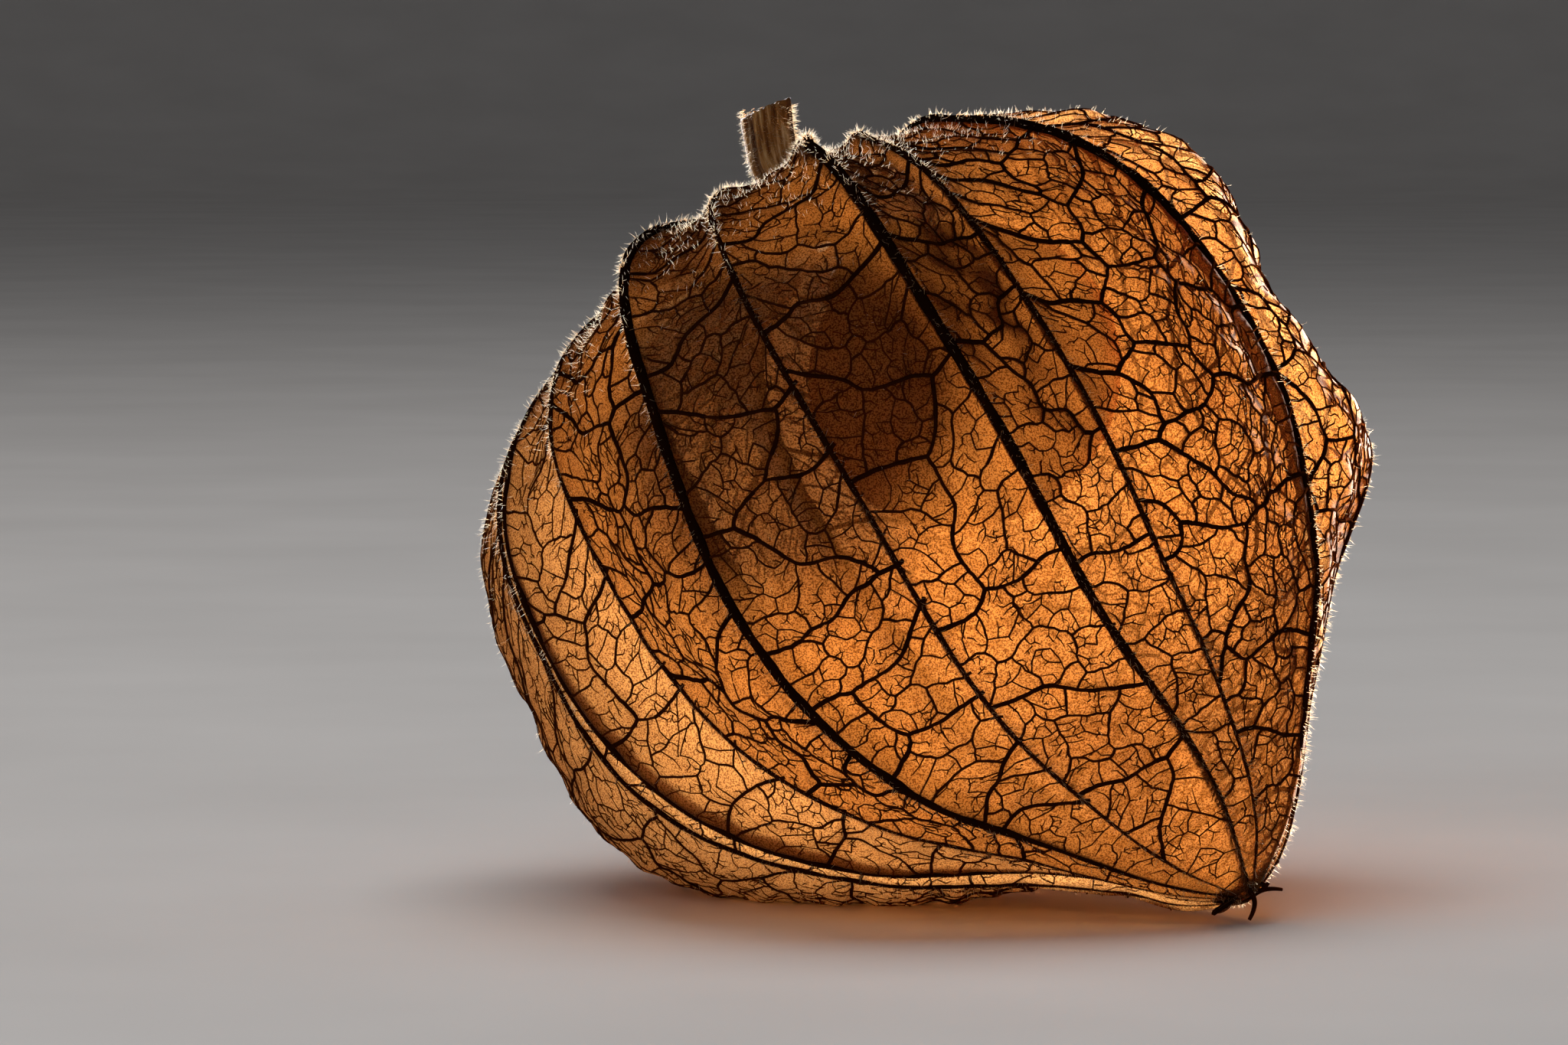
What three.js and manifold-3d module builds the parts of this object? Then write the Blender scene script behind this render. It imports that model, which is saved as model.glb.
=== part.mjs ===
// A physalis fruit as picked and dried: one berry inside its papery husk, on a short cut stem.
// The husk is five sepals grown into one lantern with ten ribs. It lies on its side, on a small flat
// of its lowest panel and on its pointed tips, with its apex turned towards the front.
//
// Units are millimetres and +Z is up. Each shape is first made about the lantern's own axis: z runs from
// the stem to the apex, x is the side that ends up on top, and azimuth turns from x towards y.

import * as THREE from "three";
import { mergeVertices } from "three/addons/utils/BufferGeometryUtils.js";
import Module from "manifold-3d";

const wasm = await Module();
wasm.setup();

// How the lantern lies: its axis dips below level and its apex turns to the front.
const AXIS_DIP = THREE.MathUtils.degToRad(48);
const AXIS_TURN = THREE.MathUtils.degToRad(32);
const BELLY_PANEL = 8; // the panel it rests on
const FLAT_SPOT_DEPTH = 0.3; // how far that panel is pressed flat where it carries the weight

// The lantern's side view: places along the sheet from stem hole to apex, with radius and height.
const PROFILE = {
  along: [0, 0.07, 0.16, 0.27, 0.4, 0.55, 0.7, 0.83, 0.93, 1],
  radius: [1.8, 5, 11.6, 16.8, 18.3, 17.2, 13.4, 8.4, 4, 1],
  height: [-20.5, -21.5, -21.7, -17, -9.7, -1.5, 5.1, 9.5, 13.4, 15.6],
};

// The stem hole, and the fruit below it, sit off the axis towards the side that ends up on top.
const HOLE_SHIFT = 4.4;
const SHIFT_END = 0.2; // place along the sheet where it runs true to the axis again

// Ribs in turn round the lantern, each at five stations from shoulder to apex: its azimuth in degrees, its
// reach as a share of the profile's radius, and the puff, how far the panel that follows it stands out.
const STATIONS = [0.1, 0.3, 0.5, 0.7, 0.9];
const RIBS = [
  {
    azimuth: [127, 130, 132, 132, 130],
    reach: [1.04, 1.06, 1.09, 1.02, 0.74],
    puff: [-0.8, 0.3, 0.6, 0.3, 0],
  },
  {
    azimuth: [114, 114, 118, 115, 116],
    reach: [1.04, 0.98, 0.98, 1.04, 0.94],
    puff: [-0.8, 0, 0.3, 0, 0],
  },
  {
    azimuth: [84, 86, 96, 102, 103],
    reach: [1.12, 1.08, 1.06, 1.06, 1.08],
    puff: [-1.2, 0.4, 0.8, 0.6, 0.2],
  },
  {
    azimuth: [66, 70, 75, 82, 88],
    reach: [0.96, 0.98, 0.9, 0.94, 1],
    puff: [-1.2, 0.4, 0.8, 0.6, 0.2],
  },
  {
    azimuth: [40, 48, 51, 53, 46],
    reach: [0.9, 0.92, 0.88, 0.86, 0.96],
    puff: [-1.2, 0, 0.3, 0.3, 0.2],
  },
  {
    azimuth: [18, 26, 33, 34, 26],
    reach: [0.78, 0.74, 0.8, 0.8, 0.88],
    puff: [-1, 0, 0.3, 0.3, 0.2],
  },
  {
    azimuth: [-18, -17, -16, -17, -20],
    reach: [0.8, 0.85, 0.86, 0.84, 0.9],
    puff: [0, 1.6, 0.6, 0.3, 0.2],
  },
  {
    azimuth: [-44, -45, -49, -52, -50],
    reach: [1.08, 1.06, 1, 0.9, 0.92],
    puff: [0.4, -0.8, -0.4, 0.8, 0.2],
  },
  {
    azimuth: [-135, -135, -135, -135, -135],
    reach: [1, 1, 1, 0.92, 0.8],
    puff: [4, 3, 3.4, 1, -1],
  },
  {
    azimuth: [-221, -218, -216, -216, -215],
    reach: [1.2, 1.06, 1.08, 0.98, 0.78],
    puff: [-0.5, -0.5, -0.5, -0.3, 0],
  },
];
const PUFF_LEAN = { 8: 1.7 }; // this panel bulges nearer its second rib
const FULL_RADIUS = 8; // the panels puff out less where the lantern is narrower than this
const REACH_BLEND = 0.08; // near the stem hole and the apex the ribs run together

// Where drying has bent rib 8 in and out again.
const BUCKLES = [
  { rib: 7, place: 0.43, spread: 0.048, push: -1 },
  { rib: 7, place: 0.59, spread: 0.072, push: 2.6 },
];

// Creases where a panel is tucked in beside a rib: side 0 is its first rib and 1 its second.
const TUCKS = [
  { panel: 1, side: 1, depth: 2.4, width: 0.4, from: 0.12, to: 0.98 },
  { panel: 6, side: 0, depth: 3.2, width: 0.5, from: 0.3, to: 0.74 },
  { panel: 9, side: 1, depth: 1.6, width: 0.6, from: 0.2, to: 0.9 },
];
const TUCK_LEVEL = 6.75; // makes the valley's deepest point, a third of the way across, equal to 1

// The sheet and what stands up on it.
const SHEET = 0.8;
const STEEPEST_DEPTH = 1.6; // most times deeper that the inside lies below a steep wall
const MAIN_RIB_HEIGHT = 0.75;
const SIDE_RIB_HEIGHT = 0.55;
const VEIN_HEIGHT = 0.4;
const VEIN_ROWS = 4; // rows from one cross vein to the next
const CREST_STEEPNESS = 0.7; // most that a crest rises for each millimetre to the next grid point

// Grid of the sheet: rows from hole to apex, and places across each panel.
const OUTER_ROWS = 46;
const INNER_ROWS = 26;
const COLUMNS = [
  [0, 0.15, 0.5, 0.85],
  [0, 0.12, 0.4, 0.66, 0.87],
  [0, 0.1, 0.36, 0.64, 0.9],
  [0, 0.1, 0.36, 0.64, 0.9],
  [0, 0.1, 0.36, 0.64, 0.9],
  [0, 0.08, 0.3, 0.5, 0.7, 0.92],
  [0, 0.08, 0.18, 0.34, 0.55, 0.75, 0.92],
  [0, 0.04, 0.16, 0.29, 0.43, 0.57, 0.71, 0.84, 0.96],
  [0, 0.04, 0.16, 0.29, 0.43, 0.57, 0.71, 0.84, 0.96],
  [0, 0.2, 0.5, 0.8],
];

// Five sepal tips at the apex, at the main ribs: length, then how far the point bends out and down.
const TIP_WIDTH = 1.1;
const TIP_THICKNESS = 0.75;
const TIP_TAPER = 0.7; // share of its width that a tip loses by its point
const TIP_STEPS = 7;
const TIP_SIDES = 6;
const TIPS = [
  { rib: 0, length: 2.6, out: 0.5, droop: 0.2 },
  { rib: 2, length: 2.2, out: 0.3, droop: 0.6 },
  { rib: 4, length: 2, out: 0.2, droop: 1.2 },
  { rib: 6, length: 2.2, out: 1.6, droop: 0 },
  { rib: 8, length: 2, out: 0.6, droop: 0.3 },
];

// Stem, receptacle and berry.
const STEM_RADIUS = 1.15;
const KNUCKLE = 0.25;
const KNUCKLE_PLACE = 0.27; // share of the stem's length
const KNUCKLE_SPREAD = 0.1;
// Points of the stem's middle line after the hole: how far right, back and up each is from its neck.
const STEM_BENDS = [
  [-1.5, 0.9, 0.5],
  [-2.9, 1.9, 2],
  [-3.3, 2.3, 3.6],
  [-3.45, 2.4, 4.8],
];
const STEM_SIDES = 20;
const STEM_STEPS = 22;
const STEM_NECK = 0.8; // straight part either side of the hole
const STEM_SINK = 0.6; // how deep it is sunk in the receptacle
const STEM_FLUTES = 5;
const STEM_FLUTING = 0.06; // share of its radius by which it is ridged
const RECEPTACLE_RADIUS = 2.6;
const RECEPTACLE_SIDES = 20;
const GAP = 0.3; // between pieces that touch
const BERRY_RADIUS = 7.3;
const BERRY_SHORTENING = 0.95;
const BERRY_DIMPLE = 0.5;
const DIMPLE_RADIUS = 2;
const BERRY_STEPS = 20;
const BERRY_SIDES = 36;

// A smooth line through points, level beyond its ends.
function through(x, xs, ys) {
  const last = xs.length - 1;
  const at = Math.min(Math.max(x, xs[0]), xs[last]);
  let i = 0;
  while (i < last - 1 && at >= xs[i + 1]) i += 1;
  const slope = (k) => {
    const a = Math.max(k - 1, 0);
    const b = Math.min(k + 1, last);
    return (ys[b] - ys[a]) / (xs[b] - xs[a]);
  };
  const span = xs[i + 1] - xs[i];
  const s = (at - xs[i]) / span;
  const rise = s * s * (3 - 2 * s);
  const start = s * (1 - s) * (1 - s) * span * slope(i);
  const end = s * s * (s - 1) * span * slope(i + 1);
  return ys[i] + (ys[i + 1] - ys[i]) * rise + start + end;
}

// Radius of one rib at a place along the sheet.
function ribRadius(index, place) {
  const blend = Math.min(place / REACH_BLEND, (1 - place) / REACH_BLEND, 1);
  const reach = 1 + (through(place, STATIONS, RIBS[index].reach) - 1) * Math.max(blend, 0);
  let radius = through(place, PROFILE.along, PROFILE.radius) * reach;
  for (const buckle of BUCKLES.filter((one) => one.rib === index)) {
    radius += buckle.push * Math.exp(-(((place - buckle.place) / buckle.spread) ** 2));
  }
  return radius;
}

// How deep the tucks of a panel are at a point of it.
function tuckDepth(panel, place, across) {
  let depth = 0;
  for (const tuck of TUCKS.filter((one) => one.panel === panel)) {
    const progress = (place - tuck.from) / (tuck.to - tuck.from);
    const distance = (tuck.side === 0 ? across : 1 - across) / tuck.width;
    if (progress <= 0 || progress >= 1 || distance >= 1) continue;
    const valley = TUCK_LEVEL * distance * (1 - distance) ** 2;
    depth += tuck.depth * valley * Math.sin(Math.PI * progress);
  }
  return depth;
}

// Where the sheet runs: azimuth in radians, radius and height at a place along and across one panel.
function sheetAt(panel, place, across) {
  const next = (panel + 1) % RIBS.length;
  const turn = next === 0 ? -360 : 0;
  const from = through(place, STATIONS, RIBS[panel].azimuth);
  const to = through(place, STATIONS, RIBS[next].azimuth) + turn;
  const ease = across * across * (3 - 2 * across);
  const nearer = ribRadius(panel, place);
  const puff = through(place, STATIONS, RIBS[panel].puff);
  const fullness = Math.min(through(place, PROFILE.along, PROFILE.radius) / FULL_RADIUS, 1);
  const bulge = Math.sin(Math.PI * across ** (PUFF_LEAN[panel] ?? 1));
  let radius = nearer + (ribRadius(next, place) - nearer) * (across + ease) / 2;
  radius += puff * fullness * bulge - tuckDepth(panel, place, across);
  return {
    azimuth: THREE.MathUtils.degToRad(from + (to - from) * across),
    radius,
    height: through(place, PROFILE.along, PROFILE.height),
  };
}

// The lantern's axes as it lies, and a clamp that presses a point up to a level above the ground.
const apexward = new THREE.Vector3(
  Math.cos(AXIS_DIP) * Math.cos(AXIS_TURN),
  -Math.cos(AXIS_DIP) * Math.sin(AXIS_TURN),
  -Math.sin(AXIS_DIP),
);
const topward = new THREE.Vector3(0, 0, 1).addScaledVector(apexward, -apexward.z).normalize();
const sideward = new THREE.Vector3().crossVectors(apexward, topward);

function levelOf(point) {
  return point.x * topward.z + point.z * apexward.z;
}

function pressUp(point, level) {
  const lift = Math.max(level - levelOf(point), 0);
  point.x += lift * topward.z;
  point.z += lift * apexward.z;
  return point;
}

// How far off the axis the sheet is centred at a place along it.
function sheetShift(place) {
  return HOLE_SHIFT * (1 - THREE.MathUtils.smoothstep(place, 0, SHIFT_END));
}

// A point of the sheet, moved off it along its normal in the plane through the axis.
function sheetPoint(panel, place, across, offset) {
  const step = 0.002;
  const here = sheetAt(panel, place, across);
  const before = sheetAt(panel, Math.max(place - step, 0), across);
  const after = sheetAt(panel, Math.min(place + step, 1), across);
  const run = after.radius - before.radius;
  const climb = after.height - before.height;
  const length = Math.hypot(run, climb);
  const radius = here.radius + (offset * climb) / length;
  const height = here.height - (offset * run) / length;
  return new THREE.Vector3(
    radius * Math.cos(here.azimuth) + sheetShift(place),
    radius * Math.sin(here.azimuth),
    height,
  );
}

// The inside of the sheet lies deeper where a panel is steep across, so its walls keep their thickness.
function sheetDepth(panel, place, across) {
  const step = 0.02;
  const before = sheetAt(panel, place, Math.max(across - step, 0));
  const after = sheetAt(panel, place, Math.min(across + step, 1));
  const here = sheetAt(panel, place, across);
  const travel = here.radius * Math.abs(after.azimuth - before.azimuth);
  const slope = Math.abs(after.radius - before.radius) / Math.max(travel, 0.05);
  return SHEET * Math.min(Math.hypot(1, slope), STEEPEST_DEPTH);
}

// How high the ribs and the net of veins may stand at a grid point: lower where the columns run together.
function relief(panel, column, row) {
  const columns = COLUMNS[panel];
  const last = columns.length - 1;
  const place = row / (OUTER_ROWS - 1);
  const isRib = column === 0;
  const middle = Math.floor(columns.length / 2);
  const slant = panel % 2 === 0 ? column : -column;
  const onCrossVein = (row + slant + 2 * panel + 10 * VEIN_ROWS) % VEIN_ROWS === 0;
  const onLink = column === middle && Math.floor((row + panel) / VEIN_ROWS) % 2 === 0;
  const besideRib = column === 1 || column === last;
  if (!isRib && (besideRib || !(onCrossVein || onLink))) return 0;
  const ribHeight = panel % 2 === 0 ? MAIN_RIB_HEIGHT : SIDE_RIB_HEIGHT;
  const here = sheetAt(panel, place, columns[column]);
  const beside = sheetAt(panel, place, columns[column + 1] ?? 1);
  const foot = here.radius * Math.abs(beside.azimuth - here.azimuth);
  return Math.min(isRib ? ribHeight : VEIN_HEIGHT, CREST_STEEPNESS * foot);
}

// Closed skin over rings of points that all have the same count, capped or joined end to end.
function skinOver(rings, joined) {
  const count = rings[0].length;
  const positions = rings.flat().flatMap((point) => [point.x, point.y, point.z]);
  const faces = [];
  const bands = joined ? rings.length : rings.length - 1;
  for (let i = 0; i < bands; i += 1) {
    const a = i * count;
    const b = ((i + 1) % rings.length) * count;
    for (let k = 0; k < count; k += 1) {
      const next = (k + 1) % count;
      faces.push(a + k, b + k, b + next, a + k, b + next, a + next);
    }
  }
  if (!joined) {
    const end = (rings.length - 1) * count;
    for (let k = 1; k < count - 1; k += 1) {
      faces.push(0, k, k + 1, end, end + k + 1, end + k);
    }
  }
  return { positions, faces };
}

function signedVolume({ positions, faces }) {
  const corner = (k) => new THREE.Vector3().fromArray(positions, 3 * faces[k]);
  let volume = 0;
  for (let k = 0; k < faces.length; k += 3) {
    volume += corner(k).dot(corner(k + 1).cross(corner(k + 2))) / 6;
  }
  return volume;
}

// The same skin as a solid, with its faces pointing out.
function solidOf(skin) {
  const faces = signedVolume(skin) > 0 ? skin.faces : skin.faces.toReversed();
  const vertProperties = Float32Array.from(skin.positions);
  const triVerts = Uint32Array.from(faces);
  return new wasm.Manifold(new wasm.Mesh({ numProp: 3, vertProperties, triVerts }));
}

function geometryOf(solid) {
  const mesh = solid.getMesh();
  const geometry = new THREE.BufferGeometry();
  geometry.setAttribute("position", new THREE.BufferAttribute(mesh.vertProperties.slice(), 3));
  geometry.setIndex(new THREE.BufferAttribute(mesh.triVerts.slice(), 1));
  geometry.computeVertexNormals();
  return geometry;
}

// Lowest level of the bare sheet, and the ground that the belly is pressed to.
function groundLevel() {
  let lowest = Infinity;
  for (let row = 0; row < OUTER_ROWS; row += 1) {
    for (let across = 0; across < 1; across += 0.05) {
      const point = sheetPoint(BELLY_PANEL, row / (OUTER_ROWS - 1), across, 0);
      lowest = Math.min(lowest, levelOf(point));
    }
  }
  return lowest + FLAT_SPOT_DEPTH;
}
const GROUND = groundLevel();

// Husk: the sheet as one closed shell, open at the stem hole and at the apex.
function huskShell() {
  const ring = (place, pointAt) => COLUMNS.flatMap((columns, panel) => columns.map(
    (across, column) => pointAt(panel, place, across, column),
  ));
  const rings = [];
  for (let row = 0; row < OUTER_ROWS; row += 1) {
    rings.push(ring(row / (OUTER_ROWS - 1), (panel, place, across, column) => pressUp(
      sheetPoint(panel, place, across, relief(panel, column, row)), GROUND,
    )));
  }
  for (let row = INNER_ROWS - 1; row >= 0; row -= 1) {
    rings.push(ring(row / (INNER_ROWS - 1), (panel, place, across) => pressUp(
      sheetPoint(panel, place, across, -sheetDepth(panel, place, across)), GROUND + SHEET,
    )));
  }
  return solidOf(skinOver(rings, true));
}

// One sepal tip: a flat tapering horn that carries on from its rib and bends out or down.
function sepalTip({ rib, length, out, droop }) {
  const root = sheetPoint(rib, 0.95, 0, -SHEET / 2);
  const rim = sheetPoint(rib, 1, 0, -SHEET / 2);
  const along = new THREE.Vector3().subVectors(rim, root).normalize();
  const outward = new THREE.Vector3(rim.x, rim.y, 0).normalize();
  const down = new THREE.Vector3(-topward.z, 0, -apexward.z);
  const point = rim.clone().addScaledVector(along, length).addScaledVector(outward, out);
  point.addScaledVector(down, droop);
  const bend = rim.clone().addScaledVector(along, length * 0.6);
  const path = new THREE.CatmullRomCurve3([root, rim, bend, point]);
  const across = new THREE.Vector3().crossVectors(along, outward).normalize();
  const rings = [];
  for (let step = 0; step <= TIP_STEPS; step += 1) {
    const share = step / TIP_STEPS;
    const centre = path.getPoint(share);
    const heading = path.getTangent(share);
    const thickWay = new THREE.Vector3().crossVectors(heading, across).normalize();
    const taper = 1 - TIP_TAPER * share ** 1.5;
    rings.push(Array.from({ length: TIP_SIDES }, (_, k) => {
      const angle = (k / TIP_SIDES) * 2 * Math.PI;
      const corner = centre.clone().addScaledVector(across, (TIP_WIDTH / 2) * taper * Math.cos(angle));
      corner.addScaledVector(thickWay, (TIP_THICKNESS / 2) * taper * Math.sin(angle));
      return pressUp(corner, GROUND);
    }));
  }
  return solidOf(skinOver(rings, false));
}

function huskGeometry() {
  return geometryOf(TIPS.reduce((husk, tip) => husk.add(sepalTip(tip)), huskShell()));
}

// Stem: leaves the hole, leans over behind the shoulder and turns up to its cut end. Inside the husk it
// widens to the receptacle that carries the berry.
const HOLE_HEIGHT = PROFILE.height[0];
const RECEPTACLE_END = HOLE_HEIGHT + SHEET + 1.6;
const RECEPTACLE_PROFILE = [
  [0, -1.1],
  [1.5, -1],
  [RECEPTACLE_RADIUS, -0.45],
  [RECEPTACLE_RADIUS - 0.1, -0.1],
  [RECEPTACLE_RADIUS - 0.9, 0],
  [0, 0],
];

// A direction given as it lies on the table, seen about the lantern's own axis.
function lyingWay(right, back, up) {
  const way = new THREE.Vector3(right, back, up);
  return new THREE.Vector3(way.dot(topward), way.dot(sideward), way.dot(apexward));
}

// Middle line of the stem, from inside the receptacle to the cut.
function stemPath() {
  const onAxis = (height) => new THREE.Vector3(HOLE_SHIFT, 0, height);
  const neck = onAxis(HOLE_HEIGHT - STEM_NECK);
  const bends = STEM_BENDS.map(([right, back, up]) => neck.clone().add(lyingWay(right, back, up)));
  return new THREE.CatmullRomCurve3([
    onAxis(RECEPTACLE_END - STEM_SINK),
    onAxis(HOLE_HEIGHT + STEM_NECK),
    neck,
    ...bends,
  ]);
}

// The stem is thickest in a knuckle where it meets the husk.
function stemRadius(share) {
  return STEM_RADIUS + KNUCKLE * Math.exp(-(((share - KNUCKLE_PLACE) / KNUCKLE_SPREAD) ** 2));
}

function stemGeometry() {
  const path = stemPath();
  const side = new THREE.Vector3(0, 1, 0);
  const rings = [];
  for (let step = 0; step <= STEM_STEPS; step += 1) {
    const centre = path.getPoint(step / STEM_STEPS);
    const heading = path.getTangent(step / STEM_STEPS);
    const other = new THREE.Vector3().crossVectors(heading, side).normalize();
    const flat = new THREE.Vector3().crossVectors(other, heading).normalize();
    rings.push(Array.from({ length: STEM_SIDES }, (_, k) => {
      const angle = (k / STEM_SIDES) * 2 * Math.PI;
      const fluted = 1 + STEM_FLUTING * Math.cos(STEM_FLUTES * angle);
      const radius = stemRadius(step / STEM_STEPS) * fluted;
      const corner = centre.clone().addScaledVector(other, radius * Math.cos(angle));
      return corner.addScaledVector(flat, radius * Math.sin(angle));
    }));
  }
  const outline = RECEPTACLE_PROFILE.map(([radius, height]) => (
    new THREE.Vector2(radius, RECEPTACLE_END + height)
  ));
  const receptacle = latheSolid(new THREE.LatheGeometry(outline, RECEPTACLE_SIDES));
  return geometryOf(solidOf(skinOver(rings, false)).add(receptacle));
}

// A lathed shape stood under the stem hole along the lantern's axis, as a solid.
function latheSolid(geometry) {
  geometry.rotateX(Math.PI / 2);
  geometry.translate(HOLE_SHIFT, 0, 0);
  geometry.deleteAttribute("normal");
  geometry.deleteAttribute("uv");
  const merged = mergeVertices(geometry, 1e-4);
  const faces = [];
  const index = merged.getIndex().array;
  for (let k = 0; k < index.length; k += 3) {
    const [a, b, c] = index.slice(k, k + 3);
    if (a !== b && b !== c && c !== a) faces.push(a, b, c);
  }
  return solidOf({ positions: Array.from(merged.getAttribute("position").array), faces });
}

// Berry: a ball a little shorter than wide, dimpled where the receptacle holds it.
function berryGeometry() {
  const start = RECEPTACLE_END + GAP - BERRY_DIMPLE;
  const half = BERRY_RADIUS * BERRY_SHORTENING;
  const points = [];
  for (let step = 0; step <= BERRY_STEPS; step += 1) {
    const angle = (step / BERRY_STEPS) * Math.PI;
    const isPole = step === 0 || step === BERRY_STEPS;
    const radius = isPole ? 0 : BERRY_RADIUS * Math.sin(angle);
    const isNearStem = step < BERRY_STEPS / 2;
    const dimple = isNearStem ? BERRY_DIMPLE * Math.exp(-((radius / DIMPLE_RADIUS) ** 2)) : 0;
    points.push(new THREE.Vector2(radius, start + half * (1 - Math.cos(angle)) + dimple));
  }
  return geometryOf(latheSolid(new THREE.LatheGeometry(points, BERRY_SIDES)));
}

function mesh(name, geometry, colour, roughness) {
  const material = new THREE.MeshStandardMaterial({ color: colour, roughness, metalness: 0 });
  const piece = new THREE.Mesh(geometry, material);
  piece.name = name;
  return piece;
}

// The three pieces are made about the lantern's axis, laid down together and stood on the ground.
const lying = new THREE.Group();
lying.add(mesh("calyx_husk", huskGeometry(), 0xc8782a, 0.7));
lying.add(mesh("pedicel", stemGeometry(), 0xb89a6a, 0.85));
lying.add(mesh("berry", berryGeometry(), 0xd8701a, 0.25));
lying.quaternion.setFromRotationMatrix(new THREE.Matrix4().makeBasis(topward, sideward, apexward));

const physalis = new THREE.Group();
physalis.add(lying);
physalis.updateMatrixWorld(true);
const reach = new THREE.Box3().setFromObject(lying, true);
const middle = reach.getCenter(new THREE.Vector3());
lying.position.set(-middle.x, -middle.y, -reach.min.z);

export default physalis;
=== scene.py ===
import heapq
import math

import bmesh
import bpy
import numpy as np
from mathutils import Matrix, Vector, geometry, kdtree


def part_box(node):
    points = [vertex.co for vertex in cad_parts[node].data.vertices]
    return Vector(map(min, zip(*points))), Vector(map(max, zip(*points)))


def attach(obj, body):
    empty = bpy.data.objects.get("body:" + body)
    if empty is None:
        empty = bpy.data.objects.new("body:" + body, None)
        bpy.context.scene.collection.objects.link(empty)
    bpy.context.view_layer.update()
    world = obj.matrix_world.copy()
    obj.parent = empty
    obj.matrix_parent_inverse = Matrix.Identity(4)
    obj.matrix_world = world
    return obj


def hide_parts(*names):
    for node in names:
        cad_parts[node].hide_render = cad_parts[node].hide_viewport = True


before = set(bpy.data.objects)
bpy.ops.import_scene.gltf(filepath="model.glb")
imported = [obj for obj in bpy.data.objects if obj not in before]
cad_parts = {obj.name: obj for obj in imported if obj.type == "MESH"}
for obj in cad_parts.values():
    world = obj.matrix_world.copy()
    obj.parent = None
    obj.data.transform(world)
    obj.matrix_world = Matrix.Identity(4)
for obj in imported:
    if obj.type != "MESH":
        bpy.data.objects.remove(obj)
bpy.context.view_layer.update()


# Calyx form: the husk is five sepals grown together into a papery lantern with ten ribs. It dried hanging
# and then lay on its side, so its ribs have bent in and out and some panels are tucked in beside them.
# Lengths here are in millimetres about the lantern's axis, which runs from the stem hole to the apex.
MM = 0.001
AXIS_DIP = math.radians(48)
AXIS_TURN = math.radians(32)
# The lantern's profile: places from stem hole to apex, and its radius and height at each.
PROFILE_PLACES = (0, 0.07, 0.16, 0.27, 0.4, 0.55, 0.7, 0.83, 0.93, 1)
PROFILE_RADII = (1.35, 5, 11.6, 16.8, 18.3, 17.2, 13.4, 8.4, 4, 0.4)
PROFILE_HEIGHTS = (-20.5, -21.5, -21.7, -17, -9.7, -1.5, 5.1, 9.5, 13.4, 15.6)
HOLE_SHIFT = 4.4
SHIFT_END = 0.2
# At each station: the ribs' directions in degrees and their distances as shares of the profile's radius,
# and how far the panels swell out between them.
STATIONS = (0.1, 0.3, 0.5, 0.7, 0.9)
RIB_AZIMUTHS = (
    (127, 130, 132, 132, 130),
    (114, 114, 118, 115, 116),
    (84, 86, 96, 102, 103),
    (66, 70, 75, 82, 88),
    (40, 48, 51, 53, 46),
    (18, 26, 33, 34, 26),
    (-18, -17, -16, -17, -20),
    (-44, -45, -49, -52, -50),
    (-135, -135, -135, -135, -135),
    (-221, -218, -216, -216, -215),
)
RIB_REACHES = (
    (1.04, 1.06, 1.09, 1.02, 0.74),
    (1.04, 0.98, 0.98, 1.04, 0.94),
    (1.12, 1.08, 1.06, 1.06, 1.08),
    (0.96, 0.98, 0.9, 0.94, 1),
    (0.9, 0.92, 0.88, 0.86, 0.96),
    (0.78, 0.74, 0.8, 0.8, 0.88),
    (0.8, 0.85, 0.86, 0.84, 0.9),
    (1.08, 1.06, 1, 0.9, 0.92),
    (1, 1, 1, 0.92, 0.8),
    (1.2, 1.06, 1.08, 0.98, 0.78),
)
PANEL_PUFFS = (
    (-0.8, 0.3, 0.6, 0.3, 0),
    (-0.8, 0, 0.3, 0, 0),
    (-1.2, 0.4, 0.8, 0.6, 0.2),
    (-1.2, 0.4, 0.8, 0.6, 0.2),
    (-1.2, 0, 0.3, 0.3, 0.2),
    (-1, 0, 0.3, 0.3, 0.2),
    (0, 1.6, 0.6, 0.3, 0.2),
    (0.4, -0.8, -0.4, 0.8, 0.2),
    (4, 3, 3.4, 1, -1),
    (-0.5, -0.5, -0.5, -0.3, 0),
)
PANELS = len(RIB_AZIMUTHS)
LEANING_PUFFS = {8: 1.7}  # a panel whose swelling leans to its far rib
FULL_RADIUS = 8
REACH_BLEND = 0.08
# Bends of a rib: rib, place, how far it spreads along the rib, and how far out it pushes.
BUCKLES = ((7, 0.43, 0.048, -1), (7, 0.59, 0.072, 2.6))
# Folded-in panels: panel, side, depth, width as a share of the panel, and from where to where.
TUCKS = ((1, 1, 2.4, 0.4, 0.12, 0.98), (6, 0, 1, 0.4, 0.3, 0.74), (9, 1, 1.6, 0.6, 0.2, 0.9))
TUCK_LEVEL = 6.75  # makes a valley's deepest point, a third of the way across, equal to 1
NORMAL_STEP = 0.004

apexward = Vector((
    math.cos(AXIS_DIP) * math.cos(AXIS_TURN),
    -math.cos(AXIS_DIP) * math.sin(AXIS_TURN),
    -math.sin(AXIS_DIP),
))
topward = (Vector((0, 0, 1)) - apexward * apexward.z).normalized()
sideward = apexward.cross(topward)
BERRY_PLACE = -11.365
berry_low, berry_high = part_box("berry")
berry_middle = (berry_low + berry_high) / 2
lantern_middle = berry_middle - (topward * HOLE_SHIFT + apexward * BERRY_PLACE) * MM


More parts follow.
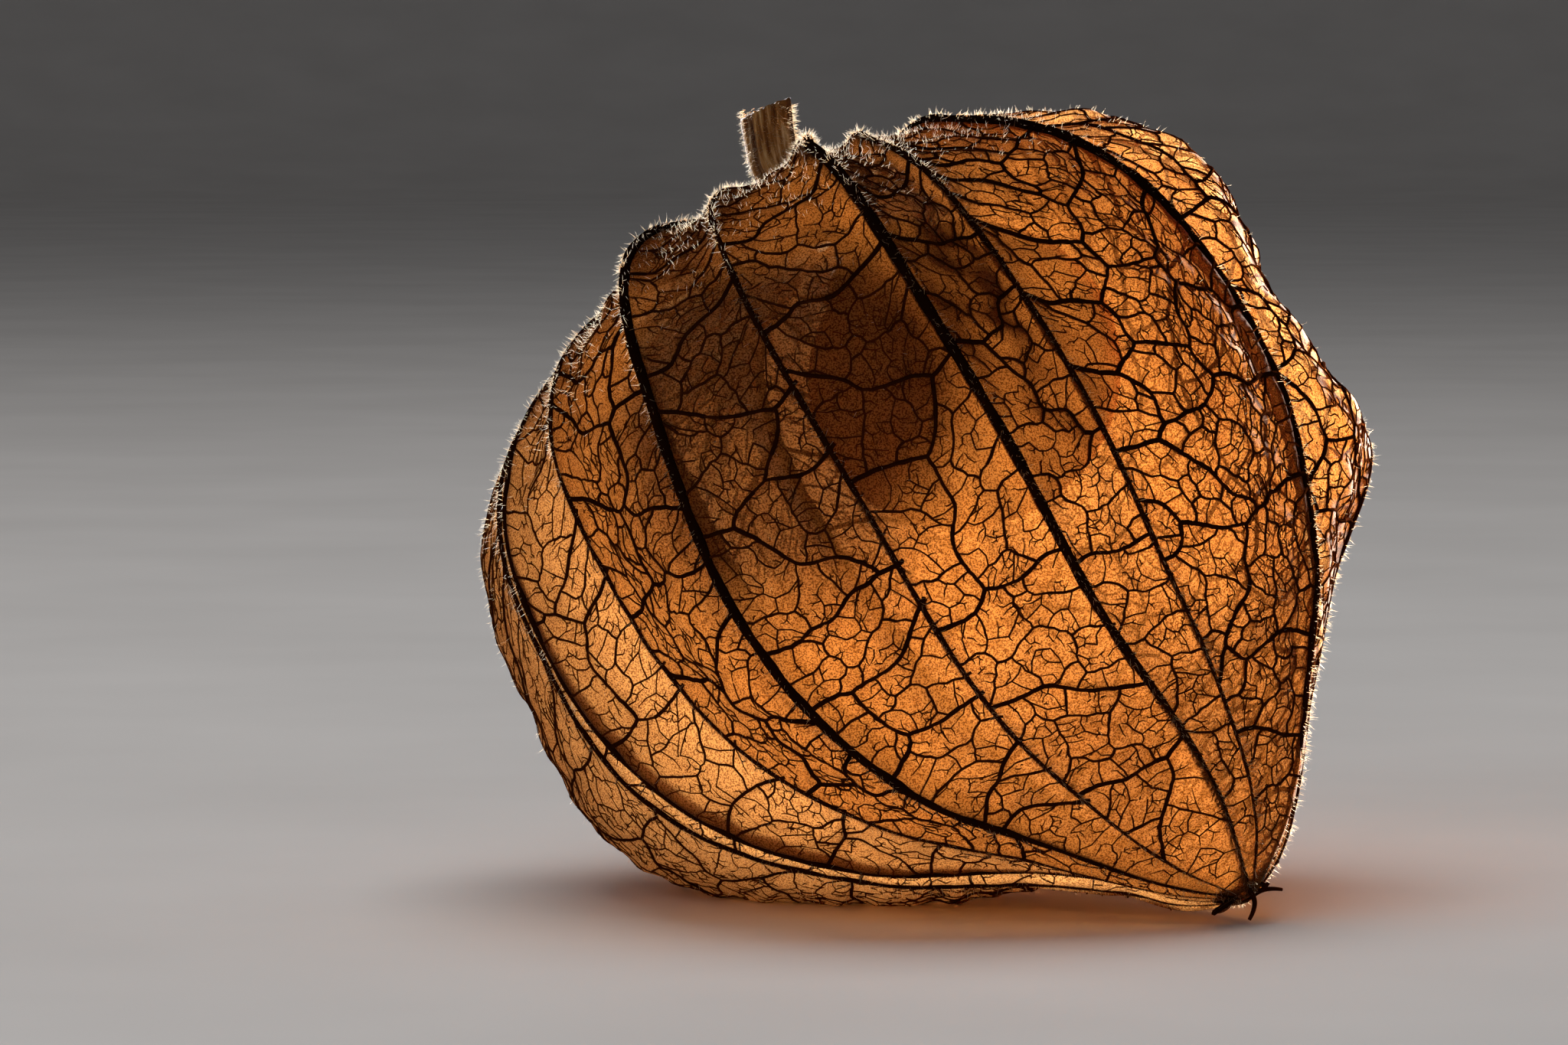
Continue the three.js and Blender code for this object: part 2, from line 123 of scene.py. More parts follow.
def through(x, xs, ys):
    """A smooth line through points, level beyond its ends."""
    xs = np.array(xs, float)
    ys = np.array(ys, float)
    count = len(xs)
    before = np.maximum(np.arange(count) - 1, 0)
    after = np.minimum(np.arange(count) + 1, count - 1)
    slopes = (ys[after] - ys[before]) / (xs[after] - xs[before])
    x = np.clip(x, xs[0], xs[-1])
    i = np.clip(np.searchsorted(xs, x, side="right") - 1, 0, count - 2)
    span = xs[i + 1] - xs[i]
    s = (x - xs[i]) / span
    rise = s * s * (3 - 2 * s)
    start = s * (1 - s) ** 2 * span * slopes[i]
    end = s * s * (s - 1) * span * slopes[i + 1]
    return ys[i] + (ys[i + 1] - ys[i]) * rise + start + end


def unit(vectors):
    """Vectors brought to length 1."""
    return vectors / np.maximum(np.linalg.norm(vectors, axis=-1, keepdims=True), 1e-12)


def above_table(points, least=0):
    """Points held at or above the table, or above it by a least height in metres."""
    points[..., 2] = np.maximum(points[..., 2], least)
    return points


def rib_radius(rib, place):
    """Distance of a rib from the axis at a place from stem hole, 0, to apex, 1."""
    blend = np.clip(np.minimum(place, 1 - place) / REACH_BLEND, 0, 1)
    reach = 1 + (through(place, STATIONS, RIB_REACHES[rib]) - 1) * blend
    radius = through(place, PROFILE_PLACES, PROFILE_RADII) * reach
    for buckled, centre, spread, push in BUCKLES:
        if buckled == rib:
            radius = radius + push * np.exp(-(((place - centre) / spread) ** 2))
    return radius


def tuck_depth(panel, place, across):
    """How deep a panel is folded in beside its ribs."""
    depth = np.zeros_like(place + across)
    for tucked, side, deepest, width, start, end in TUCKS:
        if tucked == panel:
            progress = np.clip((place - start) / (end - start), 0, 1)
            distance = np.clip((across if side == 0 else 1 - across) / width, 0, 1)
            valley = TUCK_LEVEL * distance * (1 - distance) ** 2
            depth = depth + deepest * valley * np.sin(np.pi * progress)
    return depth


def bare_sheet(panel, place, across):
    """Points of the sheet, in metres, at places along and across one panel."""
    following = (panel + 1) % PANELS
    turn = -360 if following == 0 else 0
    azimuth_from = through(place, STATIONS, RIB_AZIMUTHS[panel])
    azimuth_to = through(place, STATIONS, RIB_AZIMUTHS[following]) + turn
    azimuth = np.radians(azimuth_from + (azimuth_to - azimuth_from) * across)
    ease = across * across * (3 - 2 * across)
    radius_from = rib_radius(panel, place)
    radius_to = rib_radius(following, place)
    fullness = np.minimum(through(place, PROFILE_PLACES, PROFILE_RADII) / FULL_RADIUS, 1)
    shape = np.sin(np.pi * np.clip(across, 0, 1) ** LEANING_PUFFS.get(panel, 1))
    radius = radius_from + (radius_to - radius_from) * (across + ease) / 2
    radius = radius + through(place, STATIONS, PANEL_PUFFS[panel]) * fullness * shape
    radius = radius - tuck_depth(panel, place, across)
    height = through(place, PROFILE_PLACES, PROFILE_HEIGHTS)
    ending = np.clip(place / SHIFT_END, 0, 1)
    shift = HOLE_SHIFT * (1 - ending * ending * (3 - 2 * ending))
    flat = np.stack([radius * np.cos(azimuth) + shift, radius * np.sin(azimuth), height + 0 * radius], -1)
    axes = np.array([topward, sideward, apexward])
    return above_table(np.array(lantern_middle) + flat @ axes * MM)


def outward(panel, place, across):
    """Unit normals of the sheet, pointing out."""
    lower = np.clip(across - NORMAL_STEP, 0, 1)
    upper = np.clip(across + NORMAL_STEP, 0, 1)
    over = bare_sheet(panel, place, upper) - bare_sheet(panel, place, lower)
    ahead = bare_sheet(panel, np.clip(place + NORMAL_STEP, 0, 1), across)
    behind = bare_sheet(panel, np.clip(place - NORMAL_STEP, 0, 1), across)
    normals = unit(np.cross(ahead - behind, over))
    spokes = bare_sheet(panel, place, across) - np.array(lantern_middle + apexward * BERRY_PLACE * MM / 2)
    flip = np.sign(np.sum(normals * spokes, -1, keepdims=True))
    return normals * np.where(flip == 0, 1, flip)


# How the sheet lies flat: the arc length along each panel's middle, and its width at each place.
CHART_STEPS = 240
CHART_STRIPS = 12


def run_along(points):
    """How far along a line each of its points lies."""
    return np.concatenate([[0], np.cumsum(np.linalg.norm(np.diff(points, axis=0), axis=1))])


def flat_chart(panel):
    """Places, arc lengths and widths of one panel, in millimetres."""
    places = np.linspace(0, 1, CHART_STEPS)
    middle = bare_sheet(panel, places, np.full(CHART_STEPS, 0.5)) / MM
    arcs = run_along(middle)
    strips = np.linspace(0, 1, CHART_STRIPS)
    grid = bare_sheet(panel, places[:, None], strips[None, :]) / MM
    widths = np.linalg.norm(np.diff(grid, axis=1), axis=2).sum(1)
    return places, arcs, widths


charts = [flat_chart(panel) for panel in range(PANELS)]

# The sheet rises to a crest along each rib and is softly crumpled between them.
MAIN_CREST = 0.5
SIDE_CREST = 0.35
CREST_SPREAD = 0.7
CREST_SHARE = 0.12
CRUMPLE = 0.16
FULL_CRUMPLE_WIDTH = 6


def sheet_lift(panel, place, across):
    """How far the sheet stands off its smooth form: its crests at the ribs and its soft crumpling."""
    places, arcs, widths = charts[panel]
    width = np.interp(place, places, widths)
    arc = np.interp(place, places, arcs)
    crests = np.zeros_like(place + across)
    for rib, distance in ((panel, across * width), ((panel + 1) % PANELS, (1 - across) * width)):
        height = MAIN_CREST if rib % 2 == 0 else SIDE_CREST
        height = np.minimum(height, width * CREST_SHARE)
        crests = crests + height * np.exp(-((distance / CREST_SPREAD) ** 2))
    # Two crossing waves a few millimetres long and a weaker, shorter one, begun elsewhere in each panel.
    waves = np.sin(arc * 1.1 + across * 5 + panel * 2.3) * np.sin(across * width * 0.9 - arc * 0.35 + panel)
    waves = waves + 0.6 * np.sin(arc * 2.3 - across * width * 1.4 + panel * 1.7)
    free = np.sin(np.pi * np.clip(across, 0, 1)) * np.minimum(width / FULL_CRUMPLE_WIDTH, 1)
    return crests + CRUMPLE * waves * free


def on_sheet(panel, place, across):
    """Points on the dried sheet, with its crests and crumpling, and their normals."""
    normals = outward(panel, place, across)
    raised = sheet_lift(panel, place, across)[..., None] * MM
    return above_table(bare_sheet(panel, place, across) + normals * raised), normals


# Vein net: veins of dark fibre branch off the ribs, meet between them, and close smaller and smaller
# polygons of sheet, down to areoles about a millimetre across. Many of the finest veins stop short, and
# forked blind veinlets grow into the areoles. Each vein is as thick as the sheet that it feeds asks for.
BLIND, FINE, MIDDLE, STOUT = range(4)
AREOLE = 1.15
MIDDLE_CELL = 2.3
POLYGON = 4.6
JITTER = 0.42
RIB_MARGIN = 0.15
END_CLEARANCE = 0.1
VEIN_LEAN = 0.6
LAST_ARC = 0.995
# For veins from blind to stout: thickness, cost of drawing along them, and how far they straighten.
GRADE_VEINS = (0.078, 0.095, 0.135, 0.175)
GRADE_COSTS = (1, 1, 0.6, 0.35)
GRADE_PULLS = (0, 0.12, 0.3, 0.42)
VEIN_COST = 0.01
FLOW_POWER = 0.1
THICKEST_VEIN = 0.26
FAINT_PANELS = {8: 0.65, 9: 0.75, 0: 0.9}
THICKNESS_SPREAD = (0.88, 1.12)
# How many veins stop short or carry blind veinlets, and how these reach, swing, bend and taper.
OPEN_SHARE = 0.4
OPEN_REACH = (0.25, 0.8)
OPEN_TAPER = 0.55
BLIND_SHARE = 0.35
BLIND_ROOTS = (0.3, 0.7)
ROOT_SWELL = 1.15
FORK_SWING = 0.4
FORK_REACH = (0.3, 0.65)
ARM_SHARE = 0.75
ARM_SWING = (0.3, 1.1)
ARM_REACH = (0.25, 0.65)
STRAIGHT_REACH, STRAIGHT_TAPER = 0.8, 0.6
ARM_BEND = 0.7
BEND_PLACE, BEND_TAPER = 0.55, 0.85
BENT_REACH, BENT_TAPER = 0.6, 0.5
SMOOTHINGS = 4
BOW = 0.16
STOUT_BOW = 0.4
END_MARGIN = 0.2
rng = np.random.default_rng(7)


def scattered(spacing, length, width_at):
    """Places for seeds on a flat panel: a staggered grid, each one nudged at random."""
    rows = []
    step = spacing * math.sqrt(3) / 2
    for row in range(int(length / step) + 1):
        y = (row + 0.5) * step
        half = width_at(y) / 2
        count = int(2 * half / spacing) + 2
        xs = (np.arange(count) - count / 2 + 0.5 * (row % 2) + 0.25) * spacing
        xs = xs + rng.uniform(-JITTER, JITTER, count) * spacing
        ys = y + rng.uniform(-JITTER, JITTER, count) * spacing
        inside = (ys > END_CLEARANCE) & (ys < length - END_CLEARANCE)
        inside &= np.abs(xs) < half - spacing * RIB_MARGIN
        rows.append(np.stack([xs[inside], ys[inside]], 1))
    return np.concatenate(rows)


def voronoi(seeds, width_at):
    """Corners and edges of the cells round the seeds. Cells beside a rib end square on it."""
    half = np.array([width_at(y) for y in seeds[:, 1]]) / 2
    points = [seeds]
    for side in (-1, 1):
        beside = side * seeds[:, 0] > half - 3 * AREOLE
        points.append(np.stack([2 * side * half[beside] - seeds[beside, 0], seeds[beside, 1]], 1))
    made = geometry.delaunay_2d_cdt([Vector(p) for p in np.concatenate(points)], [], [], 0, 1e-7)
    vertices, triangles, sources = np.array(made[0]), made[2], made[3]
    corners = np.zeros((len(triangles), 2))
    at_rib = np.zeros(len(triangles), bool)
    sides = {}
    for index, (a, b, c) in enumerate(triangles):
        ab, ac = vertices[b] - vertices[a], vertices[c] - vertices[a]
        twice = 2 * (ab[0] * ac[1] - ab[1] * ac[0])
        x = (ac[1] * (ab @ ab) - ab[1] * (ac @ ac)) / twice
        y = (ab[0] * (ac @ ac) - ac[0] * (ab @ ab)) / twice
        corners[index] = vertices[a] + (x, y)
        at_rib[index] = max(sources[v][0] for v in (a, b, c)) >= len(seeds)
        for one, other in ((a, b), (b, c), (c, a)):
            sides.setdefault((min(one, other), max(one, other)), []).append(index)
    edges = []
    for (one, other), shared in sides.items():
        cells = (sources[one][0], sources[other][0])
        if len(shared) == 2 and max(cells) < len(seeds):
            edges.append((shared[0], shared[1], cells[0], cells[1]))
    return corners, at_rib, np.array(edges)


def sap_flow(corners, edges, grades, at_rib):
    """How much sheet each vein feeds, when every corner draws along its easiest way from a rib."""
    reach = {}
    lengths = np.linalg.norm(corners[edges[:, 0]] - corners[edges[:, 1]], axis=1)
    for index, (a, b) in enumerate(edges[:, :2]):
        cost = lengths[index] * GRADE_COSTS[grades[index]] + VEIN_COST
        reach.setdefault(a, []).append((b, cost, index))
        reach.setdefault(b, []).append((a, cost, index))
    best = {}
    order = []
    queue = [(0.0, int(corner), -1, -1) for corner in np.nonzero(at_rib)[0] if corner in reach]
    heapq.heapify(queue)
    while queue:
        cost, corner, source, edge = heapq.heappop(queue)
        if corner in best:
            continue
        best[corner] = (source, edge)
        order.append(corner)
        for neighbour, added, index in reach[corner]:
            if neighbour not in best:
                heapq.heappush(queue, (cost + added, int(neighbour), corner, index))
    flow = np.zeros(len(edges))
    demand = dict.fromkeys(order, 1.0)
    for corner in reversed(order):
        source, edge = best[corner]
        if edge >= 0:
            flow[edge] = demand[corner]
            demand[source] += demand[corner]
    return flow


def smoothed(corners, edges, grades, at_rib):
    """Corners drawn along the stoutest veins that run on through them, so that these don't zigzag."""
    top = np.full(len(corners), FINE)
    for grade in (MIDDLE, STOUT):
        meeting = np.zeros(len(corners))
        for end in (0, 1):
            np.add.at(meeting, edges[:, end], grades >= grade)
        top = np.where(meeting >= 2, grade, top)
    pull = np.array(GRADE_PULLS)[top]
    for _ in range(SMOOTHINGS):
        total = np.zeros_like(corners)
        count = np.zeros(len(corners))
        for here, there in ((0, 1), (1, 0)):
            weight = np.where(grades >= top[edges[:, here]], 1.0, 0.0)
            np.add.at(total, edges[:, here], corners[edges[:, there]] * weight[:, None])
            np.add.at(count, edges[:, here], weight)
        movable = (count > 1) & ~at_rib
        mean = total[movable] / count[movable, None]
        drawn = pull[movable, None]
        corners = corners.copy()
        corners[movable] = (1 - drawn) * corners[movable] + drawn * mean
    return corners


def turned(vectors, angles):
    """Flat vectors turned by angles in radians."""
    x, y = vectors[:, 0], vectors[:, 1]
    return np.stack([x * np.cos(angles) - y * np.sin(angles), x * np.sin(angles) + y * np.cos(angles)], 1)


def blind_veinlets(starts, ends, seeds, cells):
    """Short veinlets that branch into the areoles from some of the veins round them and end blind."""
    rows = []

    def grow(root, tip, first, last):
        """Adds veinlets from roots to tips, with their thicknesses there."""
        rows.append(np.column_stack([root, tip, np.tile([first, last, BLIND], (len(root), 1))]))

    thick = GRADE_VEINS[BLIND]
    for side in (0, 1):
        chosen = rng.random(len(starts)) < BLIND_SHARE
        share = rng.uniform(*BLIND_ROOTS, chosen.sum())[:, None]
        root = starts[chosen] * share + ends[chosen] * (1 - share)
        aim = seeds[cells[chosen, side]] - root
        count = len(root)
        fork = turned(aim, rng.uniform(-FORK_SWING, FORK_SWING, count))
        fork = root + fork * rng.uniform(*FORK_REACH, count)[:, None]
        grow(root, fork, thick * ROOT_SWELL, thick)
        for swing in (-1, 1):
            grown = rng.random(count) < ARM_SHARE
            angle = swing * rng.uniform(*ARM_SWING, grown.sum())
            reach = turned(aim[grown], angle) * rng.uniform(*ARM_REACH, grown.sum())[:, None]
            if swing < 0:
                grow(fork[grown], fork[grown] + reach * STRAIGHT_REACH, thick, thick * STRAIGHT_TAPER)
                continue
            middle = fork[grown] + reach * BEND_PLACE
            bend = turned(reach, rng.uniform(-ARM_BEND, ARM_BEND, grown.sum()))
            grow(fork[grown], middle, thick, thick * BEND_TAPER)
            grow(middle, middle + bend * BENT_REACH, thick * BEND_TAPER, thick * BENT_TAPER)
    return rows


def net_of(panel):
    """The veins of one panel as rows of: start x, y, end x, y, start and end thickness, grade."""
    _, arcs, widths = charts[panel]
    length = arcs[-1]

    def width_at(y):
        """The panel's width at a length along it."""
        return float(np.interp(y, arcs, widths))

    seeds = scattered(AREOLE, length, width_at)
    corners, at_rib, edges = voronoi(seeds, width_at)
    half = np.interp(corners[:, 1], arcs, widths) / 2
    corners[:, 0] = np.where(at_rib, np.sign(corners[:, 0]) * half, corners[:, 0])
    inside = (corners[:, 1] > END_MARGIN) & (corners[:, 1] < length - END_MARGIN)
    edges = edges[inside[edges[:, 0]] & inside[edges[:, 1]]]
    grades = np.full(len(edges), FINE)
    for grade, spacing in ((MIDDLE, MIDDLE_CELL), (STOUT, POLYGON)):
        middles = scattered(spacing, length, width_at)
        if len(middles) > 0:
            group = np.argmin(((seeds[:, None] - middles[None]) ** 2).sum(2), 1)
            grades[group[edges[:, 2]] != group[edges[:, 3]]] = grade
    flow = sap_flow(corners, edges, grades, at_rib)
    corners = smoothed(corners, edges, grades, at_rib)
    thickness = np.array(GRADE_VEINS)[grades] * np.maximum(flow, 1) ** FLOW_POWER
    thickness = np.minimum(thickness * rng.uniform(*THICKNESS_SPREAD, len(flow)), THICKEST_VEIN)
    thickness = thickness * FAINT_PANELS.get(panel, 1)
    starts = corners[edges[:, 0]]
    ends = corners[edges[:, 1]]
    rows = blind_veinlets(starts, ends, seeds, edges[:, 2:4])
    swapped = (rng.random(len(edges)) < 0.5)[:, None]
    starts, ends = np.where(swapped, ends, starts), np.where(swapped, starts, ends)
    stopping = (grades == FINE) & (flow == 0) & (rng.random(len(edges)) < OPEN_SHARE)
    reach = np.where(stopping, rng.uniform(*OPEN_REACH, len(edges)), 1.0)[:, None]
    ends = starts + (ends - starts) * reach
    way = ends - starts
    bow = np.stack([-way[:, 1], way[:, 0]], 1) * rng.uniform(-BOW, BOW, len(way))[:, None]
    middle = (starts + ends) / 2 + np.where(grades[:, None] == STOUT, STOUT_BOW * bow, bow)
    last = np.where(stopping, OPEN_TAPER, 1.0) * thickness
    rows.append(np.column_stack([starts, middle, thickness, (thickness + last) / 2, grades]))
    rows.append(np.column_stack([middle, ends, (thickness + last) / 2, last, grades]))
    return np.concatenate(rows)


def placed(panel, flat):
    """Place and share across of flat points. Veins lean to the apex as they leave a rib."""
    places, arcs, widths = charts[panel]
    length = arcs[-1]
    width = np.interp(flat[:, 1], arcs, widths)
    across = np.clip(flat[:, 0] / width + 0.5, 0, 1)
    off_ribs = width / math.pi * np.sin(math.pi * across)
    arc = flat[:, 1] + VEIN_LEAN * off_ribs * (1 - (flat[:, 1] / length) ** 2)
    place = np.interp(np.minimum(arc, length * LAST_ARC), arcs, places)
    return place, across


def linear(colour):
    """An sRGB hex colour as linear red, green, blue and alpha."""
    channels = [int(colour[i:i + 2], 16) / 255 for i in (1, 3, 5)]
    return [c / 12.92 if c <= 0.04045 else ((c + 0.055) / 1.055) ** 2.4 for c in channels] + [1.0]


def add(tree, kind, settings, links=()):
    """Adds a node, sets its properties, ramp stops and inputs, and links inputs to other nodes' outputs."""
    node = tree.nodes.new("ShaderNode" + kind)
    for name, value in settings.items():
        if name == "stops":
            for position, _ in value[2:]:
                node.color_ramp.elements.new(position)
            for element, (position, colour) in zip(node.color_ramp.elements, value):
                element.position = position
                element.color = linear(colour)
        elif isinstance(name, str) and hasattr(node, name):
            setattr(node, name, value)
        else:
            node.inputs[name].default_value = value
    for name, source, output in links:
        tree.links.new(source.outputs[output], node.inputs[name])
    return node


def new_material(name):
    """An empty material and its node tree."""
    material = bpy.data.materials.new(name)
    material.use_nodes = True
    material.node_tree.nodes.clear()
    return material, material.node_tree


def new_mesh(name, points, faces):
    """A mesh made of points in metres and faces that each list their points."""
    mesh = bpy.data.meshes.new(name)
    mesh.from_pydata(np.asarray(points).tolist(), [], faces)
    return mesh


def new_object(name, data, *materials):
    """An object in the scene: a mesh with its materials, a lamp or a camera."""
    thing = bpy.data.objects.new(name, data)
    bpy.context.collection.objects.link(thing)
    for material in materials:
        thing.data.materials.append(material)
    return thing


def keep_values(mesh, name, values):
    """Keeps a number at each point of a mesh, for its material."""
    layer = mesh.attributes.new(name, "FLOAT", "POINT")
    layer.data.foreach_set("value", np.asarray(values).astype(np.float32))


def joined_rings(sides):
    """The quads that join one ring of points to the next."""
    k = np.arange(sides)
    after = (k + 1) % sides
    return np.stack([k, after, after + sides, k + sides], 1)


def solid_strands(name, starts, ends, start_widths, end_widths, ups, sides, flatness):
    """One object of closed tapering prisms, each from a start to an end; three-sided ones lie ridge up."""
    way = unit(ends - starts)
    aside = unit(np.cross(way, ups))
    down = np.cross(way, aside)
    angles = 2 * math.pi * (np.arange(sides) + 0.25 * (sides % 2 == 1) + 0.5 * (sides % 2 == 0)) / sides
    rings = []
    for centre, widths in ((starts, start_widths), (ends, end_widths)):
        for angle in angles:
            off = aside * math.cos(angle) + down * math.sin(angle) * flatness
            rings.append(centre + off * (widths * MM / 2)[:, None])
    points = np.stack(rings, 1).reshape(-1, 3)
    base = (np.arange(len(starts)) * 2 * sides)[:, None]
    k = np.arange(sides)
    faces = (base[:, None] + joined_rings(sides)[None]).reshape(-1, 4).tolist()
    faces += (base + k[::-1][None]).tolist() + (base + sides + k[None]).tolist()
    mesh = new_mesh(name, points, faces)
    keep_values(mesh, "thickness", np.repeat(np.stack([start_widths, end_widths], 1), sides, axis=1).ravel())
    mesh.validate()
    return new_object(name, mesh, fibre_material)


def vein_fibre():
    """Dried lignified strands: matt, nearly black where thick, brown and translucent where fine."""
    material, tree = new_material("dried_vein_fibre")
    thickness = add(tree, "Attribute", {"attribute_name": "thickness"})
    shade = add(tree, "ValToRGB", {"stops": (
        (0.0, "#7a3c14"),
        (0.1, "#5a2a0e"),
        (0.2, "#3c1a0a"),
        (0.5, "#281208"),
    )}, [("Fac", thickness, "Fac")])
    where = add(tree, "TexCoord", {})
    fibre = add(tree, "TexNoise", {"Scale": 1 / (0.6 * MM), "Detail": 3}, [("Vector", where, "Object")])
    varied = add(tree, "Mix", {
        "data_type": "RGBA",
        "blend_type": "MULTIPLY",
        0: 0.5,
    }, [(6, shade, "Color"), (7, fibre, "Fac")])
    bump = add(tree, "Bump", {"Strength": 0.4, "Distance": 0.03 * MM}, [("Height", fibre, "Fac")])
    shader = add(tree, "BsdfPrincipled", {"Roughness": 0.75, "Specular IOR Level": 0.0}, [
        ("Base Color", varied, 2),
        ("Normal", bump, "Normal"),
    ])
    glow = add(tree, "BsdfTranslucent", {}, [("Color", varied, 2)])
    mixed = add(tree, "MixShader", {0: 0.35}, [(1, shader, 0), (2, glow, 0)])
    add(tree, "OutputMaterial", {}, [("Surface", mixed, 0)])
    return material


fibre_material = vein_fibre()
rows = []
for panel in range(PANELS):
    veins = net_of(panel)
    ends_placed = placed(panel, veins[:, 0:2]) + placed(panel, veins[:, 2:4])
    rows.append(np.column_stack([np.full(len(veins), panel), *ends_placed, veins[:, 4:7]]))
names = ("panel", "start_place", "start_across", "end_place", "end_across", "first", "last", "grade")
net = dict(zip(names, np.concatenate(rows).T))
is_stout = net["grade"] == STOUT


def vein_ends(which, end):
    """Points and normals at the starts or ends of some of the veins."""
    points = np.zeros((len(net["panel"]), 3))
    normals = np.zeros_like(points)
    for panel in range(PANELS):
        own = which & (net["panel"] == panel)
        points[own], normals[own] = on_sheet(panel, net[end + "_place"][own], net[end + "_across"][own])
    return points[which], normals[which]


# Between the stout veins the sheet is quilted: it swells a little, and the fine veins ride on it.
QUILT = 0.12
QUILT_REACH = 1.0
QUILT_POWER = 1.5
VEIN_FLATNESS = 0.8
SHORTEST_VEIN = 0.02
stout_starts, _ = vein_ends(is_stout, "start")
stout_ends, _ = vein_ends(is_stout, "end")
stout_tree = kdtree.KDTree(len(stout_starts) * 2)
for index, (start, end) in enumerate(zip(stout_starts, stout_ends)):
    stout_tree.insert(start, 2 * index)
    stout_tree.insert((start + end) / 2, 2 * index + 1)
stout_tree.balance()


def stout_gap(points):
    """Distance of each point from the nearest stout vein, in millimetres."""
    return np.array([stout_tree.find(point)[2] for point in points.reshape(-1, 3)]) / MM


def quilt_lift(gaps):
    """How far the sheet swells at a distance from the nearest stout vein, both in millimetres."""
    return QUILT * np.clip(gaps / QUILT_REACH, 0, 1) ** QUILT_POWER


def lay_veins(name, which, sides, lift):
    """One piece made of some of the veins, lifted off the sheet in millimetres."""
    (starts, ups), (ends, end_ups) = vein_ends(which, "start"), vein_ends(which, "end")
    long_enough = np.linalg.norm(ends - starts, axis=1) > SHORTEST_VEIN * MM
    lifted = []
    for points, normals in ((starts, ups), (ends, end_ups)):
        points, normals = points[long_enough], normals[long_enough]
        lifted.append(points + normals * ((quilt_lift(stout_gap(points)) + lift) * MM)[:, None])
    first = net["first"][which][long_enough]
    last = net["last"][which][long_enough]
    lowest = first * MM / 2
    starts, ends = (above_table(points, lowest) for points in lifted)
    piece = solid_strands(name, starts, ends, first, last, ups[long_enough], sides, VEIN_FLATNESS)
    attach(piece, "root")


lay_veins("vein_net", is_stout, 6, 0.02)
lay_veins("vein_polygons", net["grade"] == MIDDLE, 4, 0.01)
lay_veins("vein_areoles", net["grade"] == FINE, 3, 0.01)
lay_veins("blind_veinlets", net["grade"] == BLIND, 3, 0.01)


# Calyx sheet: what is left of the sepals once they have dried, a translucent amber skin a tenth of a
# millimetre thick. It is darker along the veins, pitted with fine brown specks and painted darker in its
# folds as painted shade; the two panels at the back have weathered clearer, and the lobes that lay
# outermost and the bulge at the top right are painted paler, a painted glow of light coming through.
SHEET_THICKNESS = 0.12
SHEET_ROWS = 150
SHEET_COLUMN_WIDTH = 0.42
SHARE_THROUGH = 0.7
# Painted shade: how much darker each panel's tucked-in folds are drawn, for the shade in them.
FOLD_PAINTED_SHADE = {1: 1.0, 6: 2.0, 9: 0.5}
# Painted glow: how much paler each panel is drawn, for the light that comes through it.
PAINTED_GLOW_PANELS = {0: 0.5, 6: 1.0, 8: 1.0, 9: 1.0}
WEATHERED_PANELS = (6, 7)
FOLD_END = 0.92
FOLD_FADE = 0.15
PAINTED_GLOW_EDGE = 4  # how steeply the outer lobe's painted glow rises to its far rib
OUTSIDE, INSIDE, OUTSIDE_WEATHERED = range(3)
LIT_THROUGH = ((0.25, "#925e2c"), (0.5, "#9c6831"), (0.75, "#a67239"))
SEEN_THROUGH = ((0.3, "#fdecd0"), (0.5, "#fef0d8"), (0.72, "#fff6e4"))
LIT_FROM_OUTSIDE = ((0.25, "#9c602e"), (0.5, "#ac7038"), (0.75, "#bc8044"))


def rim_quads(rim, following, shift):
    """The quads that join the rims of a skin's two faces, numbered a shift apart."""
    return np.stack([following, rim, rim + shift, following + shift], 1)


